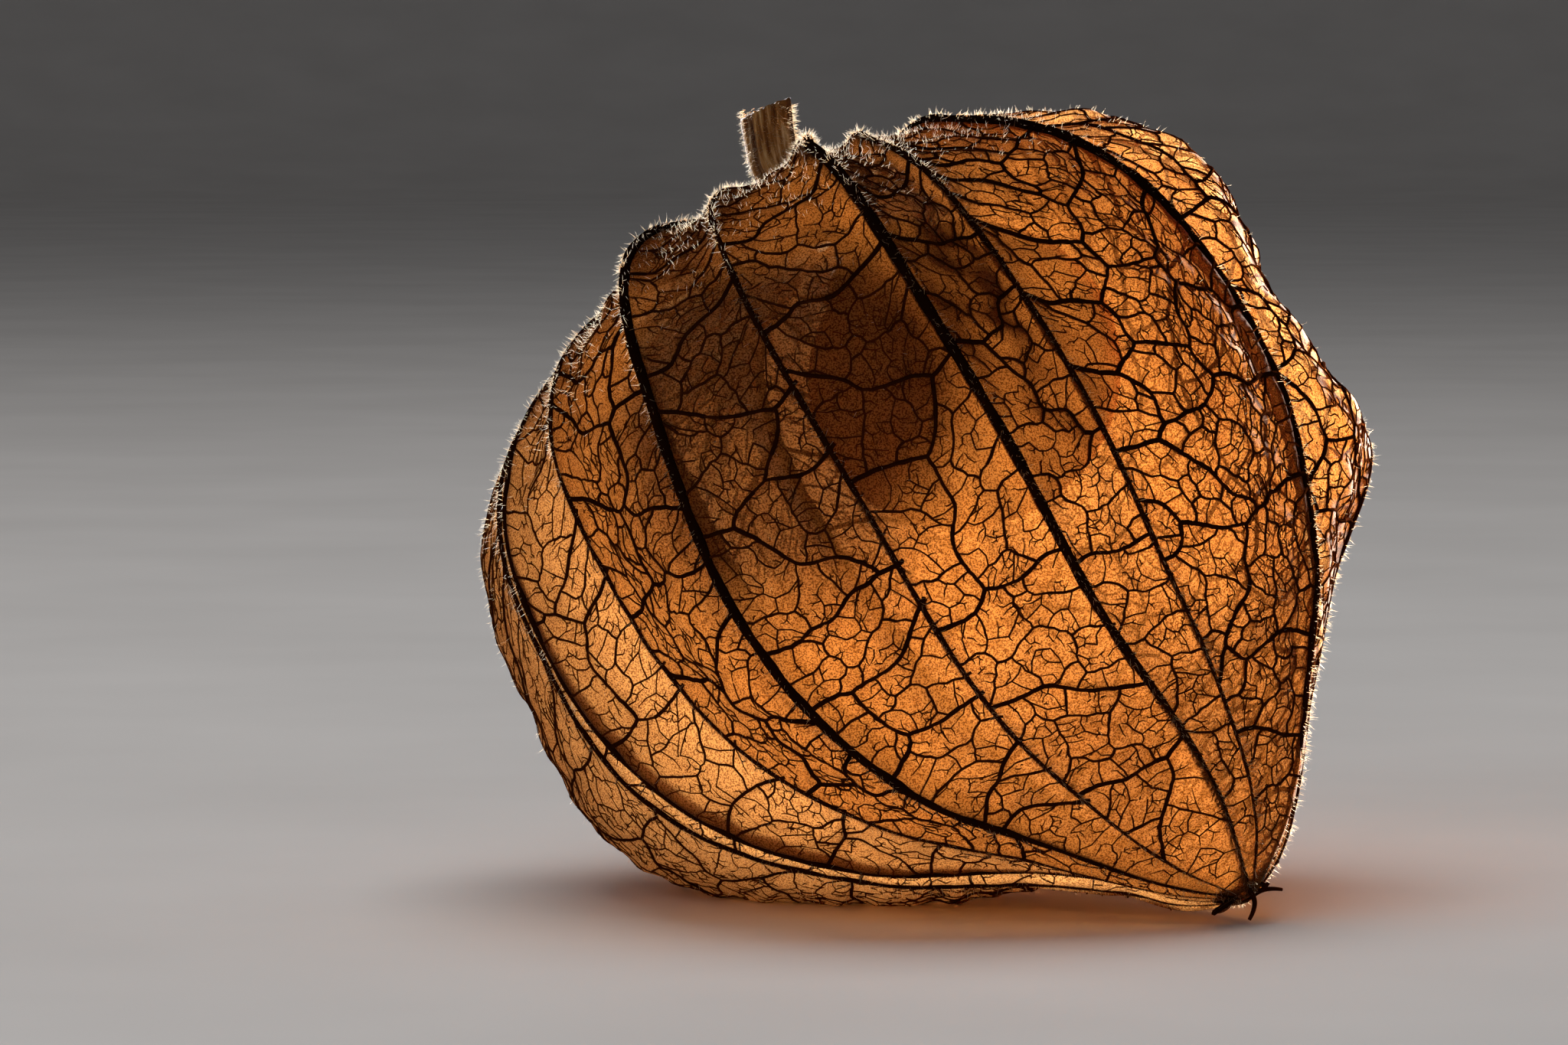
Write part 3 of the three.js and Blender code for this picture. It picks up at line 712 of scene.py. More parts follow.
def sheet_mesh():
    """The whole lantern as one closed skin: its outside, its inside and the rims that join them."""
    places = np.linspace(0, 1, SHEET_ROWS)
    outside, normals, rib_gap, fold_shades, painted_glows, finish = [], [], [], [], [], []
    for panel in range(PANELS):
        widest = charts[panel][2].max()
        columns = max(6, round(widest / SHEET_COLUMN_WIDTH))
        shares = np.arange(columns) / columns
        points, ups = on_sheet(panel, places[:, None], shares[None, :])
        width = np.interp(places, charts[panel][0], charts[panel][2])[:, None]
        outside.append(points)
        normals.append(ups)
        rib_gap.append(np.minimum(shares, 1 - shares)[None, :] * width)
        # Painted shade in the tucked-in folds, faded out towards the apex.
        fold = tuck_depth(panel, places[:, None], shares[None, :]) * FOLD_PAINTED_SHADE.get(panel, 0)
        fold_shades.append(fold * np.clip((FOLD_END - places[:, None]) / FOLD_FADE, 0, 1))
        # The painted glow, which on the leaning panel rises towards its far rib.
        spread = shares ** PAINTED_GLOW_EDGE if panel in LEANING_PUFFS else np.ones(columns)
        painted_glows.append(np.tile(PAINTED_GLOW_PANELS.get(panel, 0) * spread, (SHEET_ROWS, 1)))
        finish.append(np.full(columns, OUTSIDE_WEATHERED if panel in WEATHERED_PANELS else OUTSIDE))
    outside, normals, rib_gap, fold_shades, painted_glows = (
        np.concatenate(strips, 1) for strips in (outside, normals, rib_gap, fold_shades, painted_glows)
    )
    across = outside.shape[1]
    gaps = stout_gap(outside).reshape(rib_gap.shape)
    outside = outside + normals * (quilt_lift(gaps) * MM)[..., None]
    inside = outside - normals * SHEET_THICKNESS * MM
    outside, inside = above_table(outside), above_table(inside, SHEET_THICKNESS * MM)
    points = np.concatenate([outside.reshape(-1, 3), inside.reshape(-1, 3)])
    row, column = np.meshgrid(np.arange(SHEET_ROWS - 1), np.arange(across), indexing="ij")
    a = (row * across + column).ravel()
    b = (row * across + (column + 1) % across).ravel()
    c = b + across
    d = a + across
    shift = SHEET_ROWS * across
    quads = [np.stack([a, b, c, d], 1), np.stack([d, c, b, a], 1) + shift]
    ring = np.arange(across)
    following = (ring + 1) % across
    end = (SHEET_ROWS - 1) * across
    quads += [rim_quads(ring, following, shift), rim_quads(following, ring, shift) + end]
    mesh = new_mesh("calyx_sheet", points, np.concatenate(quads)[:, ::-1].tolist())
    for name, values in (("vein_gap", gaps), ("rib_gap", rib_gap), ("fold", fold_shades), ("bleach", painted_glows)):
        keep_values(mesh, name, np.tile(values.ravel(), 2))
    finishes = np.full(len(mesh.polygons), OUTSIDE, np.int32)
    finishes[:len(a)] = np.tile(np.concatenate(finish), SHEET_ROWS - 1)
    finishes[len(a):2 * len(a)] = INSIDE
    mesh.polygons.foreach_set("material_index", finishes)
    mesh.shade_smooth()
    return mesh


def papery_sheet(name, share_clear, is_lining):
    """Dried sepal: amber tissue that lets warm light through, browner beside veins, painted darker in its
    folds as painted shade and painted paler as a painted glow.
    """
    material, tree = new_material(name)
    where = add(tree, "TexCoord", {})
    # How far the colours are painted paler, as a painted glow of light coming through.
    bleach = add(tree, "Attribute", {"attribute_name": "bleach"})
    # Darkening beside veins and ribs, and painted shade in the folds: the strongest of the three.
    darkening_and_fold_shade = None
    for layer, from_min, from_max, to_min, to_max in (
        ("vein_gap", 0.0, 0.4, 0.5, 0.0),
        ("rib_gap", 0.0, 0.6, 0.7, 0.0),
        ("fold", 0.3, 2.2, 0.0, 0.85),
    ):
        measure = add(tree, "Attribute", {"attribute_name": layer})
        ends = {"From Min": from_min, "From Max": from_max, "To Min": to_min, "To Max": to_max}
        halo = add(tree, "MapRange", ends, [("Value", measure, "Fac")])
        darkening_and_fold_shade = halo if darkening_and_fold_shade is None else add(tree, "Math", {"operation": "MAXIMUM"}, [
            (0, darkening_and_fold_shade, 0),
            (1, halo, 0),
        ])
    cloud = add(tree, "TexNoise", {"Scale": 1 / (7 * MM), "Detail": 5, "Roughness": 0.6}, [
        ("Vector", where, "Object"),
    ])
    speck = add(tree, "TexNoise", {"Scale": 1 / (0.075 * MM), "Detail": 1}, [("Vector", where, "Object")])
    grain = add(tree, "TexNoise", {"Scale": 1 / (0.35 * MM), "Detail": 4}, [("Vector", where, "Object")])
    bump = add(tree, "Bump", {"Strength": 0.5, "Distance": 0.05 * MM}, [("Height", grain, "Fac")])
    speck_mask = add(tree, "ValToRGB", {
        "stops": ((0.42, "#ffffff"), (0.62, "#7a5834")),
    }, [("Fac", speck, "Fac")])
    tints = {}
    # Each tint is drawn darker beside veins and ribs and with painted shade in the folds, and paler with the
    # painted glow.
    for use, stops, darkened_and_shaded_colour, painted_glow_colour in (
        ("lit_through", LIT_THROUGH, "#6a4622", "#e4b87c"),
        ("seen_through", SEEN_THROUGH, "#c88a50", "#fdf0d8"),
        ("lit_from_outside", LIT_FROM_OUTSIDE, "#7a4a24", "#c08450"),
    ):
        amber = add(tree, "ValToRGB", {"stops": stops}, [("Fac", cloud, "Fac")])
        with_painted_glow = add(tree, "Mix", {"data_type": "RGBA", 7: linear(painted_glow_colour)}, [
            (0, bleach, "Fac"),
            (6, amber, "Color"),
        ])
        darkened_and_shaded_tint = add(tree, "Mix", {"data_type": "RGBA", 7: linear(darkened_and_shaded_colour)}, [
            (0, darkening_and_fold_shade, 0),
            (6, with_painted_glow, 2),
        ])
        tints[use] = add(tree, "Mix", {"data_type": "RGBA", "blend_type": "MULTIPLY", 0: 0.8}, [
            (6, darkened_and_shaded_tint, 2),
            (7, speck_mask, "Color"),
        ])
    shader = add(tree, "BsdfPrincipled", {
        "Roughness": 0.8,
        "Specular IOR Level": 0.04,
        "Sheen Weight": 0.15,
        "Sheen Roughness": 0.3,
    }, [("Base Color", tints["lit_from_outside"], 2), ("Normal", bump, "Normal")])
    glow = add(tree, "BsdfTranslucent", {}, [
        ("Color", tints["lit_through"], 2),
        ("Normal", bump, "Normal"),
    ])
    mixed = add(tree, "MixShader", {0: SHARE_THROUGH}, [(1, shader, 0), (2, glow, 0)])
    clear = add(tree, "BsdfTransparent", {"Color": (1, 1, 1, 1)})
    if not is_lining:
        tree.links.new(tints["seen_through"].outputs[2], clear.inputs["Color"])
    thinned = add(tree, "MixShader", {0: share_clear}, [(1, mixed, 0), (2, clear, 0)])
    add(tree, "OutputMaterial", {}, [("Surface", thinned, 0)])
    return material


sheet = new_object(
    "calyx_sheet",
    sheet_mesh(),
    papery_sheet("dried_papery_sepal", 0.3, False),
    papery_sheet("dried_sepal_lining", 0.9, True),
    papery_sheet("weathered_papery_sepal", 0.46, False),
)
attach(sheet, "root")
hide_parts("calyx_husk")


# Ribs: ten thick veins from the stem hole to the apex, the midribs of the five sepals and the seams
# between them. They are stiff dark cords of fibre that stand up on the crests of the sheet.
RIB_STEPS = 260
RIB_SIDES = 12
MAIN_RIB = (0.34, 0.48, 0.52, 0.48, 0.4, 0.26, 0.14)
SIDE_RIB = (0.2, 0.25, 0.28, 0.27, 0.22, 0.16, 0.1)
SLIGHT_RIBS = {0: 0.6, 1: 0.8}
RIB_PLACES = (0, 0.06, 0.2, 0.45, 0.7, 0.88, 1)
RIB_LIFT = 0.08
RIB_FLUTES = 0.06
KNOTS = 0.05


def rib_line(rib, places):
    """Middle points and normals of the crest that a rib runs on."""
    centres, normals = on_sheet(rib, places, np.zeros(len(places)))
    _, other_normals = on_sheet((rib - 1) % PANELS, places, np.ones(len(places)))
    return centres, unit(normals + other_normals)


def rib_width(rib, places):
    """A rib's width, in millimetres, at places from stem hole to apex."""
    widths = through(places, RIB_PLACES, MAIN_RIB if rib % 2 == 0 else SIDE_RIB)
    return widths * SLIGHT_RIBS.get(rib, 1)


def closed_rings(rings):
    """Faces that join rings of points and close the first and last of them."""
    count = rings.shape[1]
    k = np.arange(count)
    starts = np.arange(len(rings) - 1) * count
    faces = (starts[:, None, None] + joined_rings(count)[None]).reshape(-1, 4).tolist()
    return faces + [k[::-1].tolist(), (k + (len(rings) - 1) * count).tolist()]


def cord(centres, ups, widths, sides, flutes=0.0):
    """Points and faces of a closed cord along a line, and its thickness at each point."""
    way = unit(np.gradient(centres, axis=0))
    aside = unit(np.cross(way, ups))
    down = np.cross(way, aside)
    angles = 2 * math.pi * np.arange(sides) / sides
    radii = widths[:, None] * MM / 2 * (1 + flutes * np.cos(3 * angles)[None, :])
    off = aside[:, None] * np.cos(angles)[None, :, None] + down[:, None] * np.sin(angles)[None, :, None]
    rings = centres[:, None] + off * radii[..., None]
    return rings.reshape(-1, 3), closed_rings(rings), np.repeat(widths, sides)


def cords_piece(name, cords):
    """One piece made of closed cords, each with its thickness kept for the fibre's colour."""
    points, faces, widths = [], [], []
    for one_points, one_faces, one_widths in cords:
        base = sum(len(done) for done in points)
        points.append(one_points)
        faces += [[corner + base for corner in face] for face in one_faces]
        widths.append(one_widths)
    mesh = new_mesh(name, above_table(np.concatenate(points)), faces)
    keep_values(mesh, "thickness", np.concatenate(widths))
    mesh.shade_smooth()
    piece = new_object(name, mesh, fibre_material)
    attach(piece, "root")


def rib_cord(rib):
    """A rib that swells and thins a little along its way, more where veins leave it."""
    places = np.linspace(0, 1, RIB_STEPS)
    centres, normals = rib_line(rib, places)
    widths = rib_width(rib, places)
    # Three waves of unlike lengths, begun elsewhere in each rib, so that the knots don't repeat.
    knots = np.sin(places * 97 + rib * 2) + np.sin(places * 61 + rib * 5) + np.sin(places * 173 + rib)
    widths = widths * (1 + KNOTS * knots)
    return cord(centres + normals * RIB_LIFT * MM, normals, widths, RIB_SIDES, RIB_FLUTES)


cords_piece("ribs", [rib_cord(rib) for rib in range(PANELS)])


# Sepal tips: past the closed end of the lantern each sepal runs out in a small curled blade, and two
# midribs end in bare awns. One dried hooked down and one hooked out, and the lowest blade is dark.
TIP_STEPS = 22
TIP_COLUMNS = 8
TIP_THICKNESS = 0.14
TIP_ROOT = 0.98
TIP_AIM = 0.995
TIP_CLEARANCE = 0.15
TIP_WAVE = 0.15
TIP_ARCH = 0.7
TIP_KEEL = 0.04
TIP_RIB_GAP = 0.7
AWN_STEPS = 12
AWN_WIDTH = 0.3
AWN_SWING = 0.45
AWN_LIFT = 0.06
AWN_TAPER = 0.45
AWN_SIDES = 8
# Each tip's rib, width and how much darker it is drawn through the painted fold shade, its point's way from
# the apex, and its awn's way on from there: right, back and up.
TIPS = (
    (0, 1.2, 0.5, (-0.6, 0.4, -0.2), (-0.1, 0.1, -0.1)),
    (2, 1.7, 1.8, (-1.5, -0.9, -0.7), (-0.1, 0.0, 0.0)),
    (4, 1.1, 0.3, (0.2, -0.5, 0.0), (-0.15, -0.1, -1.1)),
    (6, 1.3, 0.2, (0.7, -0.2, 0.4), (0.2, 0.0, 0.1)),
    (8, 1.0, 0.2, (0.5, 0.2, 0.1), (1.1, 0.1, 0.1)),
)
apex_point = np.array(lantern_middle + apexward * PROFILE_HEIGHTS[-1] * MM)


def smooth_line(knots, steps):
    """A smooth line through knots, in even steps."""
    gaps = run_along(knots)
    at = np.linspace(0, gaps[-1], steps)
    return np.stack([through(at, gaps, knots[:, k]) for k in range(3)], 1)


def tip_line(rib, way):
    """Middle line of a sepal tip from where it parts from the sheet, its spoke and its way across."""
    carried, _ = rib_line(rib, np.array([TIP_ROOT, TIP_AIM]))
    point = apex_point + np.array(way) * MM
    point[2] = max(point[2], TIP_CLEARANCE * MM)
    line = smooth_line(np.concatenate([carried, [point]]), TIP_STEPS)
    axis = np.array(apexward)
    spoke = carried[0] - np.array(lantern_middle)
    spoke = unit(spoke - axis * (spoke @ axis))
    return line, spoke, np.cross(axis, spoke)


def tip_blade(rib, width, way):
    """One thin closed blade, widest past its middle, arched over its midrib and waved along its edges."""
    line, spoke, across = tip_line(rib, way)
    shares = np.linspace(0, 1, TIP_STEPS)
    # It swells till past its middle and runs out to a point a tenth of a millimetre across.
    half = width / 2 * np.sin(np.pi * (0.08 + 0.92 * shares ** 1.6)) ** 0.8 + 0.05
    spread = np.linspace(-1, 1, TIP_COLUMNS)
    aside = half[:, None] * spread[None, :]
    wave = TIP_WAVE * np.sin(7 * shares + 2 * rib)[:, None] * spread[None, :] ** 3
    arch = TIP_KEEL - TIP_ARCH * half[:, None] * spread[None, :] ** 2 + wave
    middle = line[:, None] + (across * aside[..., None] + spoke * arch[..., None]) * MM
    half_skin = spoke * TIP_THICKNESS / 2 * MM
    points = np.concatenate([(middle + half_skin).reshape(-1, 3), (middle - half_skin).reshape(-1, 3)])
    points = above_table(points)
    row, column = np.meshgrid(np.arange(TIP_STEPS - 1), np.arange(TIP_COLUMNS - 1), indexing="ij")
    a = (row * TIP_COLUMNS + column).ravel()
    under = TIP_STEPS * TIP_COLUMNS
    quads = [np.stack([a, a + 1, a + 1 + TIP_COLUMNS, a + TIP_COLUMNS], 1)]
    quads.append(quads[0][:, ::-1] + under)
    rim = np.concatenate([
        np.arange(TIP_COLUMNS),
        np.arange(1, TIP_STEPS) * TIP_COLUMNS + TIP_COLUMNS - 1,
        under - 2 - np.arange(TIP_COLUMNS - 1),
        np.arange(TIP_STEPS - 2, 0, -1) * TIP_COLUMNS,
    ])
    quads.append(rim_quads(rim, np.roll(rim, -1), under))
    return points, np.concatenate(quads), np.tile(np.abs(aside).ravel(), 2)


def tips_mesh():
    """The five blades as one mesh, with the sheet's vein gap, rib gap and fold shade attributes, but no
    painted glow.
    """
    points, faces, midrib_gaps, fold_shades = [], [], [], []
    for rib, width, darkening_and_fold_shade, way, _ in TIPS:
        blade_points, blade_faces, gaps = tip_blade(rib, width, way)
        faces.append(blade_faces + sum(len(done) for done in points))
        points.append(blade_points)
        midrib_gaps.append(gaps)
        fold_shades.append(np.full(len(gaps), darkening_and_fold_shade))
    mesh = new_mesh("sepal_tips", np.concatenate(points), np.concatenate(faces).tolist())
    gaps = np.concatenate(midrib_gaps)
    keep_values(mesh, "vein_gap", gaps)
    keep_values(mesh, "rib_gap", gaps + TIP_RIB_GAP)
    keep_values(mesh, "fold", np.concatenate(fold_shades))
    mesh.shade_smooth()
    return mesh


tips = new_object("sepal_tips", tips_mesh(), papery_sheet("dried_sepal_tip", 0.3, False))
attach(tips, "root")


def awn(rib, way, on):
    """The midrib of a tip, which runs on past its blade, bends and tapers."""
    line, spoke, _ = tip_line(rib, way)
    heading = unit(line[-1] - line[-2])
    beyond = np.linspace(0, 1, AWN_STEPS)[1:, None]
    swing = heading * AWN_SWING * np.linalg.norm(on) * 2 * beyond * (1 - beyond)
    free = line[-1] + (swing + np.array(on) * beyond ** 2) * MM
    line = above_table(np.concatenate([line, free]), AWN_WIDTH / 2 * MM)
    shares = np.linspace(0, 1, len(line))
    ups = np.tile(spoke, (len(line), 1))
    return cord(line + ups * AWN_LIFT * MM, ups, AWN_WIDTH * (1 - AWN_TAPER * shares ** 3), AWN_SIDES)


cords_piece("sepal_awns", [awn(rib, way, on) for rib, _, _, way, on in TIPS])


# Pedicel: the cut stem, a dry fluted stalk of pale fibre round a soft pith. It swells to a knuckle at the
# stem hole, and inside the husk it widens to the receptacle that holds the berry.
STEM_RADIUS = 1.15
KNUCKLE = 0.25
KNUCKLE_PLACE = 0.27
KNUCKLE_SPREAD = 0.1
STEM_FLUTES = 5
STEM_FLUTING = 0.06
DISC_LOBING = 0.03
STEM_RIDGES = 19
STEM_RIDGE_DEPTH = 0.02
STEM_FLARE = 0.04
STEM_SINK = 0.6
STEM_NECK = 0.8
STEM_STEPS = 70
STEM_SIDES = 76
CUT_SLANT = 0.3
CUT_RAGGED = 0.07
RECEPTACLE_END = -18.1
HOLE_HEIGHT = PROFILE_HEIGHTS[0]
# Where the stem goes on from its neck: right, back and up.
STEM_BENDS = ((-1.5, 0.9, 0.5), (-2.9, 1.9, 2), (-3.3, 2.3, 3.6), (-3.45, 2.4, 4.8))
# The cut end, ring by ring inwards: share of the stem's radius, and how deep it lies below the rim.
CUT_RINGS = ((0.93, -0.01), (0.84, 0.03), (0.76, 0.14), (0.55, 0.22), (0.3, 0.24), (0.1, 0.25))
# The receptacle's outline: radius, and height over its end.
RECEPTACLE = ((0.3, -1.12), (1.5, -1.0), (2.2, -0.78), (2.6, -0.45), (2.5, -0.1), (1.7, 0.0), (0.3, 0.02))


def on_axis(height):
    """The point at a height on the stem's own axis, beside the lantern's."""
    return np.array(lantern_middle + (topward * HOLE_SHIFT + apexward * height) * MM)


def stem_line():
    """Middle points of the stem and its headings."""
    neck = on_axis(HOLE_HEIGHT - STEM_NECK)
    knots = [on_axis(RECEPTACLE_END - STEM_SINK), on_axis(HOLE_HEIGHT + STEM_NECK), neck]
    line = smooth_line(np.stack(knots + [neck + np.array(bend) * MM for bend in STEM_BENDS]), STEM_STEPS)
    return line, unit(np.gradient(line, axis=0))


def stem_rings():
    """Rings of the stem from the receptacle to the cut and in over its face, with their fibre places."""
    line, heading = stem_line()
    other = unit(np.cross(heading, np.array(sideward)))
    flat = np.cross(heading, other)
    angles = 2 * math.pi * np.arange(STEM_SIDES) / STEM_SIDES
    shares = np.linspace(0, 1, STEM_STEPS)
    knuckle = KNUCKLE * np.exp(-(((shares - KNUCKLE_PLACE) / KNUCKLE_SPREAD) ** 2))
    base = STEM_RADIUS * (1 + STEM_FLARE * shares ** 8) + knuckle
    ridges = STEM_RIDGE_DEPTH * np.cos(STEM_RIDGES * angles[None, :] + 1.5 * np.sin(5 * shares)[:, None])
    radii = base[:, None] * (1 + STEM_FLUTING * np.cos(STEM_FLUTES * angles))[None, :] + ridges
    ragged = rng.uniform(-CUT_RAGGED, CUT_RAGGED, STEM_SIDES)
    off = other[:, None] * np.cos(angles)[None, :, None] + flat[:, None] * np.sin(angles)[None, :, None]
    slant = CUT_SLANT * np.maximum(shares - 0.8, 0)[:, None] * 5 * off[..., 0] * radii
    slant[-1] += ragged
    rings = line[:, None] + (off * radii[..., None] + heading[:, None] * slant[..., None]) * MM
    fibres = np.stack([radii * np.cos(angles), radii * np.sin(angles), 0 * radii + shares[:, None]], -1)
    cut, cut_fibres = [], []
    for share, depth in CUT_RINGS:
        radius = radii[-1] * share
        sunk = (CUT_SLANT * off[-1, :, 0] * radius - depth + ragged * max(share - 0.7, 0) * 2)[:, None]
        cut.append(line[-1] + (off[-1] * radius[:, None] + heading[-1] * sunk) * MM)
        cut_fibres.append(np.stack([radius * np.cos(angles), radius * np.sin(angles), 2 + 0 * radius], -1))
    return np.concatenate([rings, np.stack(cut)]), np.concatenate([fibres, np.stack(cut_fibres)])


def receptacle_rings():
    """The receptacle: a low five-lobed disc under the berry."""
    angles = 2 * math.pi * np.arange(STEM_SIDES) / STEM_SIDES
    rings = []
    for radius, height in RECEPTACLE:
        lobed = radius * (1 + DISC_LOBING * np.cos(STEM_FLUTES * angles))
        spokes = np.outer(lobed * np.cos(angles), topward) + np.outer(lobed * np.sin(angles), sideward)
        rings.append(on_axis(RECEPTACLE_END + height) + spokes * MM)
    return np.stack(rings)


def stalk_fibre():
    """Dry herbaceous stalk: pale straw fibre in fine lengthwise streaks, with a browned side and pith."""
    material, tree = new_material("dried_stalk_fibre")
    place = add(tree, "Attribute", {"attribute_name": "fibre_place"})
    # Fibre places are in millimetres across the stalk: streaks 0.2 mm wide, and patches of about 1 mm.
    streak = add(tree, "TexNoise", {"Scale": 1 / 0.2, "Detail": 4}, [("Vector", place, "Vector")])
    patch = add(tree, "TexNoise", {"Scale": 0.9, "Detail": 2}, [("Vector", place, "Vector")])
    straw = add(tree, "ValToRGB", {"stops": (
        (0.3, "#5e3410"),
        (0.44, "#93632c"),
        (0.56, "#bf965c"),
        (0.7, "#e6d0a4"),
    )}, [("Fac", streak, "Fac")])
    browned_side = add(tree, "ValToRGB", {
        "stops": ((0.42, "#6a4322"), (0.56, "#ffffff")),
    }, [("Fac", patch, "Fac")])
    shade = add(tree, "Mix", {"data_type": "RGBA", "blend_type": "MULTIPLY", 0: 0.75}, [
        (6, straw, "Color"),
        (7, browned_side, "Color"),
    ])
    bump = add(tree, "Bump", {"Strength": 0.6, "Distance": 0.06 * MM}, [("Height", streak, "Fac")])
    shader = add(tree, "BsdfPrincipled", {
        "Roughness": 0.75,
        "Specular IOR Level": 0.25,
        "Sheen Weight": 0.25,
        "Sheen Roughness": 0.4,
    }, [("Base Color", shade, 2), ("Normal", bump, "Normal")])
    glow = add(tree, "BsdfTranslucent", {}, [("Color", shade, 2)])
    mixed = add(tree, "MixShader", {0: 0.2}, [(1, shader, 0), (2, glow, 0)])
    add(tree, "OutputMaterial", {}, [("Surface", mixed, 0)])
    return material


stem_points, stem_fibres = stem_rings()
disc_points = receptacle_rings()
disc_start = stem_points.shape[0] * STEM_SIDES
disc_faces = [[disc_start + corner for corner in face] for face in closed_rings(disc_points)]
both_points = np.concatenate([stem_points.reshape(-1, 3), disc_points.reshape(-1, 3)])
stem_mesh = new_mesh("pedicel_stalk", both_points, closed_rings(stem_points) + disc_faces)
disc_fibres = (disc_points.reshape(-1, 3) - on_axis(RECEPTACLE_END)) / MM
fibre_places = np.concatenate([stem_fibres.reshape(-1, 3), disc_fibres]).astype(np.float32)
fibre_layer = stem_mesh.attributes.new("fibre_place", "FLOAT_VECTOR", "POINT")
fibre_layer.data.foreach_set("vector", fibre_places.ravel())
stem_mesh.shade_smooth()
pedicel = new_object("pedicel_stalk", stem_mesh, stalk_fibre())
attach(pedicel, "root")
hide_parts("pedicel")


# Berry: a round juicy fruit, orange and smooth-skinned. It hangs from the receptacle, with 0.3 mm left open
# at the joint, clear of the husk all round, and shows as a dark shadow when light comes through.
BERRY_RADIUS = 7.3
BERRY_HALF_LENGTH = 6.935
DIMPLE = 0.5
DIMPLE_RADIUS = 2


def berry_mesh():
    """The berry as a ball a little shorter than wide, dimpled at its stem end."""
    mesh = bpy.data.meshes.new("berry_fruit")
    shape = bmesh.new()
    bmesh.ops.create_uvsphere(shape, u_segments=64, v_segments=40, radius=1)
    in_lantern = Matrix((topward, sideward, apexward)).transposed()
    for vertex in shape.verts:
        x, y, z = vertex.co
        radius = BERRY_RADIUS * math.hypot(x, y)
        sink = DIMPLE * math.exp(-((radius / DIMPLE_RADIUS) ** 2)) if z < 0 else 0
        along = BERRY_HALF_LENGTH * z + sink
        vertex.co = berry_middle + in_lantern @ Vector((BERRY_RADIUS * x, BERRY_RADIUS * y, along)) * MM
    shape.to_mesh(mesh)
    shape.free()
    mesh.shade_smooth()
    return mesh


def berry_skin():
    """Ripe fruit skin dulled by its wax bloom: matt, over translucent orange flesh, with tiny pores."""
    material, tree = new_material("ripe_berry_skin")
    where = add(tree, "TexCoord", {})
    cloud = add(tree, "TexNoise", {"Scale": 1 / (4 * MM), "Detail": 3}, [("Vector", where, "Object")])
    flesh = add(tree, "ValToRGB", {
        "stops": ((0.35, "#8a300a"), (0.65, "#a4440e")),
    }, [("Fac", cloud, "Fac")])
    pores = add(tree, "TexVoronoi", {"Scale": 1 / (0.5 * MM)}, [("Vector", where, "Object")])
    pore_mask = add(tree, "ValToRGB", {
        "stops": ((0.1, "#d08040"), (0.22, "#000000")),
    }, [("Fac", pores, "Distance")])
    pored = add(tree, "Mix", {"data_type": "RGBA", "blend_type": "LIGHTEN", 0: 0.35}, [
        (6, flesh, "Color"),
        (7, pore_mask, "Color"),
    ])
    shader = add(tree, "BsdfPrincipled", {
        "Roughness": 0.6,
        "IOR": 1.42,
        "Specular IOR Level": 0.0,
        "Subsurface Weight": 0.35,
        "Subsurface Radius": (2.0, 0.7, 0.2),
        "Subsurface Scale": MM,
    }, [("Base Color", pored, 2)])
    add(tree, "OutputMaterial", {}, [("Surface", shader, 0)])
    return material


berry = new_object("berry_fruit", berry_mesh(), berry_skin())
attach(berry, "root")
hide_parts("berry")


# Hairs: short stiff silvery hairs, a few tenths of a millimetre long, that grew on the calyx and the stem.
# They stand thickest round the stem end and along the ribs, and lean towards the apex.
HAIRS_ON_SHEET = 24000
HAIRS_ON_RIBS = 11000
HAIRS_ON_STEM = 2500
HAIR_LENGTHS = (0.16, 0.5)
HAIR_WIDTH = 0.024
HAIR_LEAN = 0.35
HAIR_SPREAD = 0.4
HAIR_ROOT = 0.03
RIB_HAIR_SWING = 1.3
RIB_STEP = 0.003
HAIRS_EVERYWHERE = 0.03
HAIRS_AT_STEM = 4.5
HAIRS_AT_STEM_REACH = 0.14
APEX_REACH = 0.12
LEAST_AT_APEX = 0.1
EVEN_ON_RIBS = 1.0
HAIRLESS_STEM = 0.05


def hair_thickness(place):
    """How thickly hairs stand at a place along the husk."""
    near_stem = HAIRS_AT_STEM * np.exp(-((place / HAIRS_AT_STEM_REACH) ** 2))
    return (HAIRS_EVERYWHERE + near_stem) * np.clip((1 - place) / APEX_REACH, LEAST_AT_APEX, 1)


def drawn_places(count, weights):
    """Random places from 0 to 1, drawn as often as evenly spaced weights say."""
    total = np.cumsum(weights)
    return np.interp(rng.random(count) * total[-1], total, np.linspace(0, 1, len(weights)))


def sheet_hair_roots():
    """Where hairs stand on the sheet, and its normals there."""
    points, normals = [], []
    shares = [widths * np.gradient(arcs) * hair_thickness(places) for places, arcs, widths in charts]
    areas = np.array([share.sum() for share in shares])
    for panel in range(PANELS):
        count = int(HAIRS_ON_SHEET * areas[panel] / areas.sum())
        place = drawn_places(count, shares[panel])
        across = rng.random(count)
        root, up = on_sheet(panel, place, across)
        points.append(root + up * (quilt_lift(stout_gap(root)) * MM)[:, None])
        normals.append(up)
    return np.concatenate(points), np.concatenate(normals)


def rib_hair_roots():
    """Where hairs stand round the outer half of each rib, and which way out is."""
    points, normals = [], []
    for rib in range(PANELS):
        count = HAIRS_ON_RIBS // PANELS
        place = drawn_places(count, hair_thickness(np.linspace(0, 1, CHART_STEPS)) + EVEN_ON_RIBS)
        root, up = rib_line(rib, place)
        ahead, _ = rib_line(rib, np.clip(place + RIB_STEP, 0, 1))
        aside = unit(np.cross(ahead - root, up))
        swing = rng.uniform(-RIB_HAIR_SWING, RIB_HAIR_SWING, count)[:, None]
        out = up * np.cos(swing) + aside * np.sin(swing)
        thick = rib_width(rib, place)[:, None]
        points.append(root + (up * RIB_LIFT + out * thick / 2) * MM)
        normals.append(out)
    return np.concatenate(points), np.concatenate(normals)


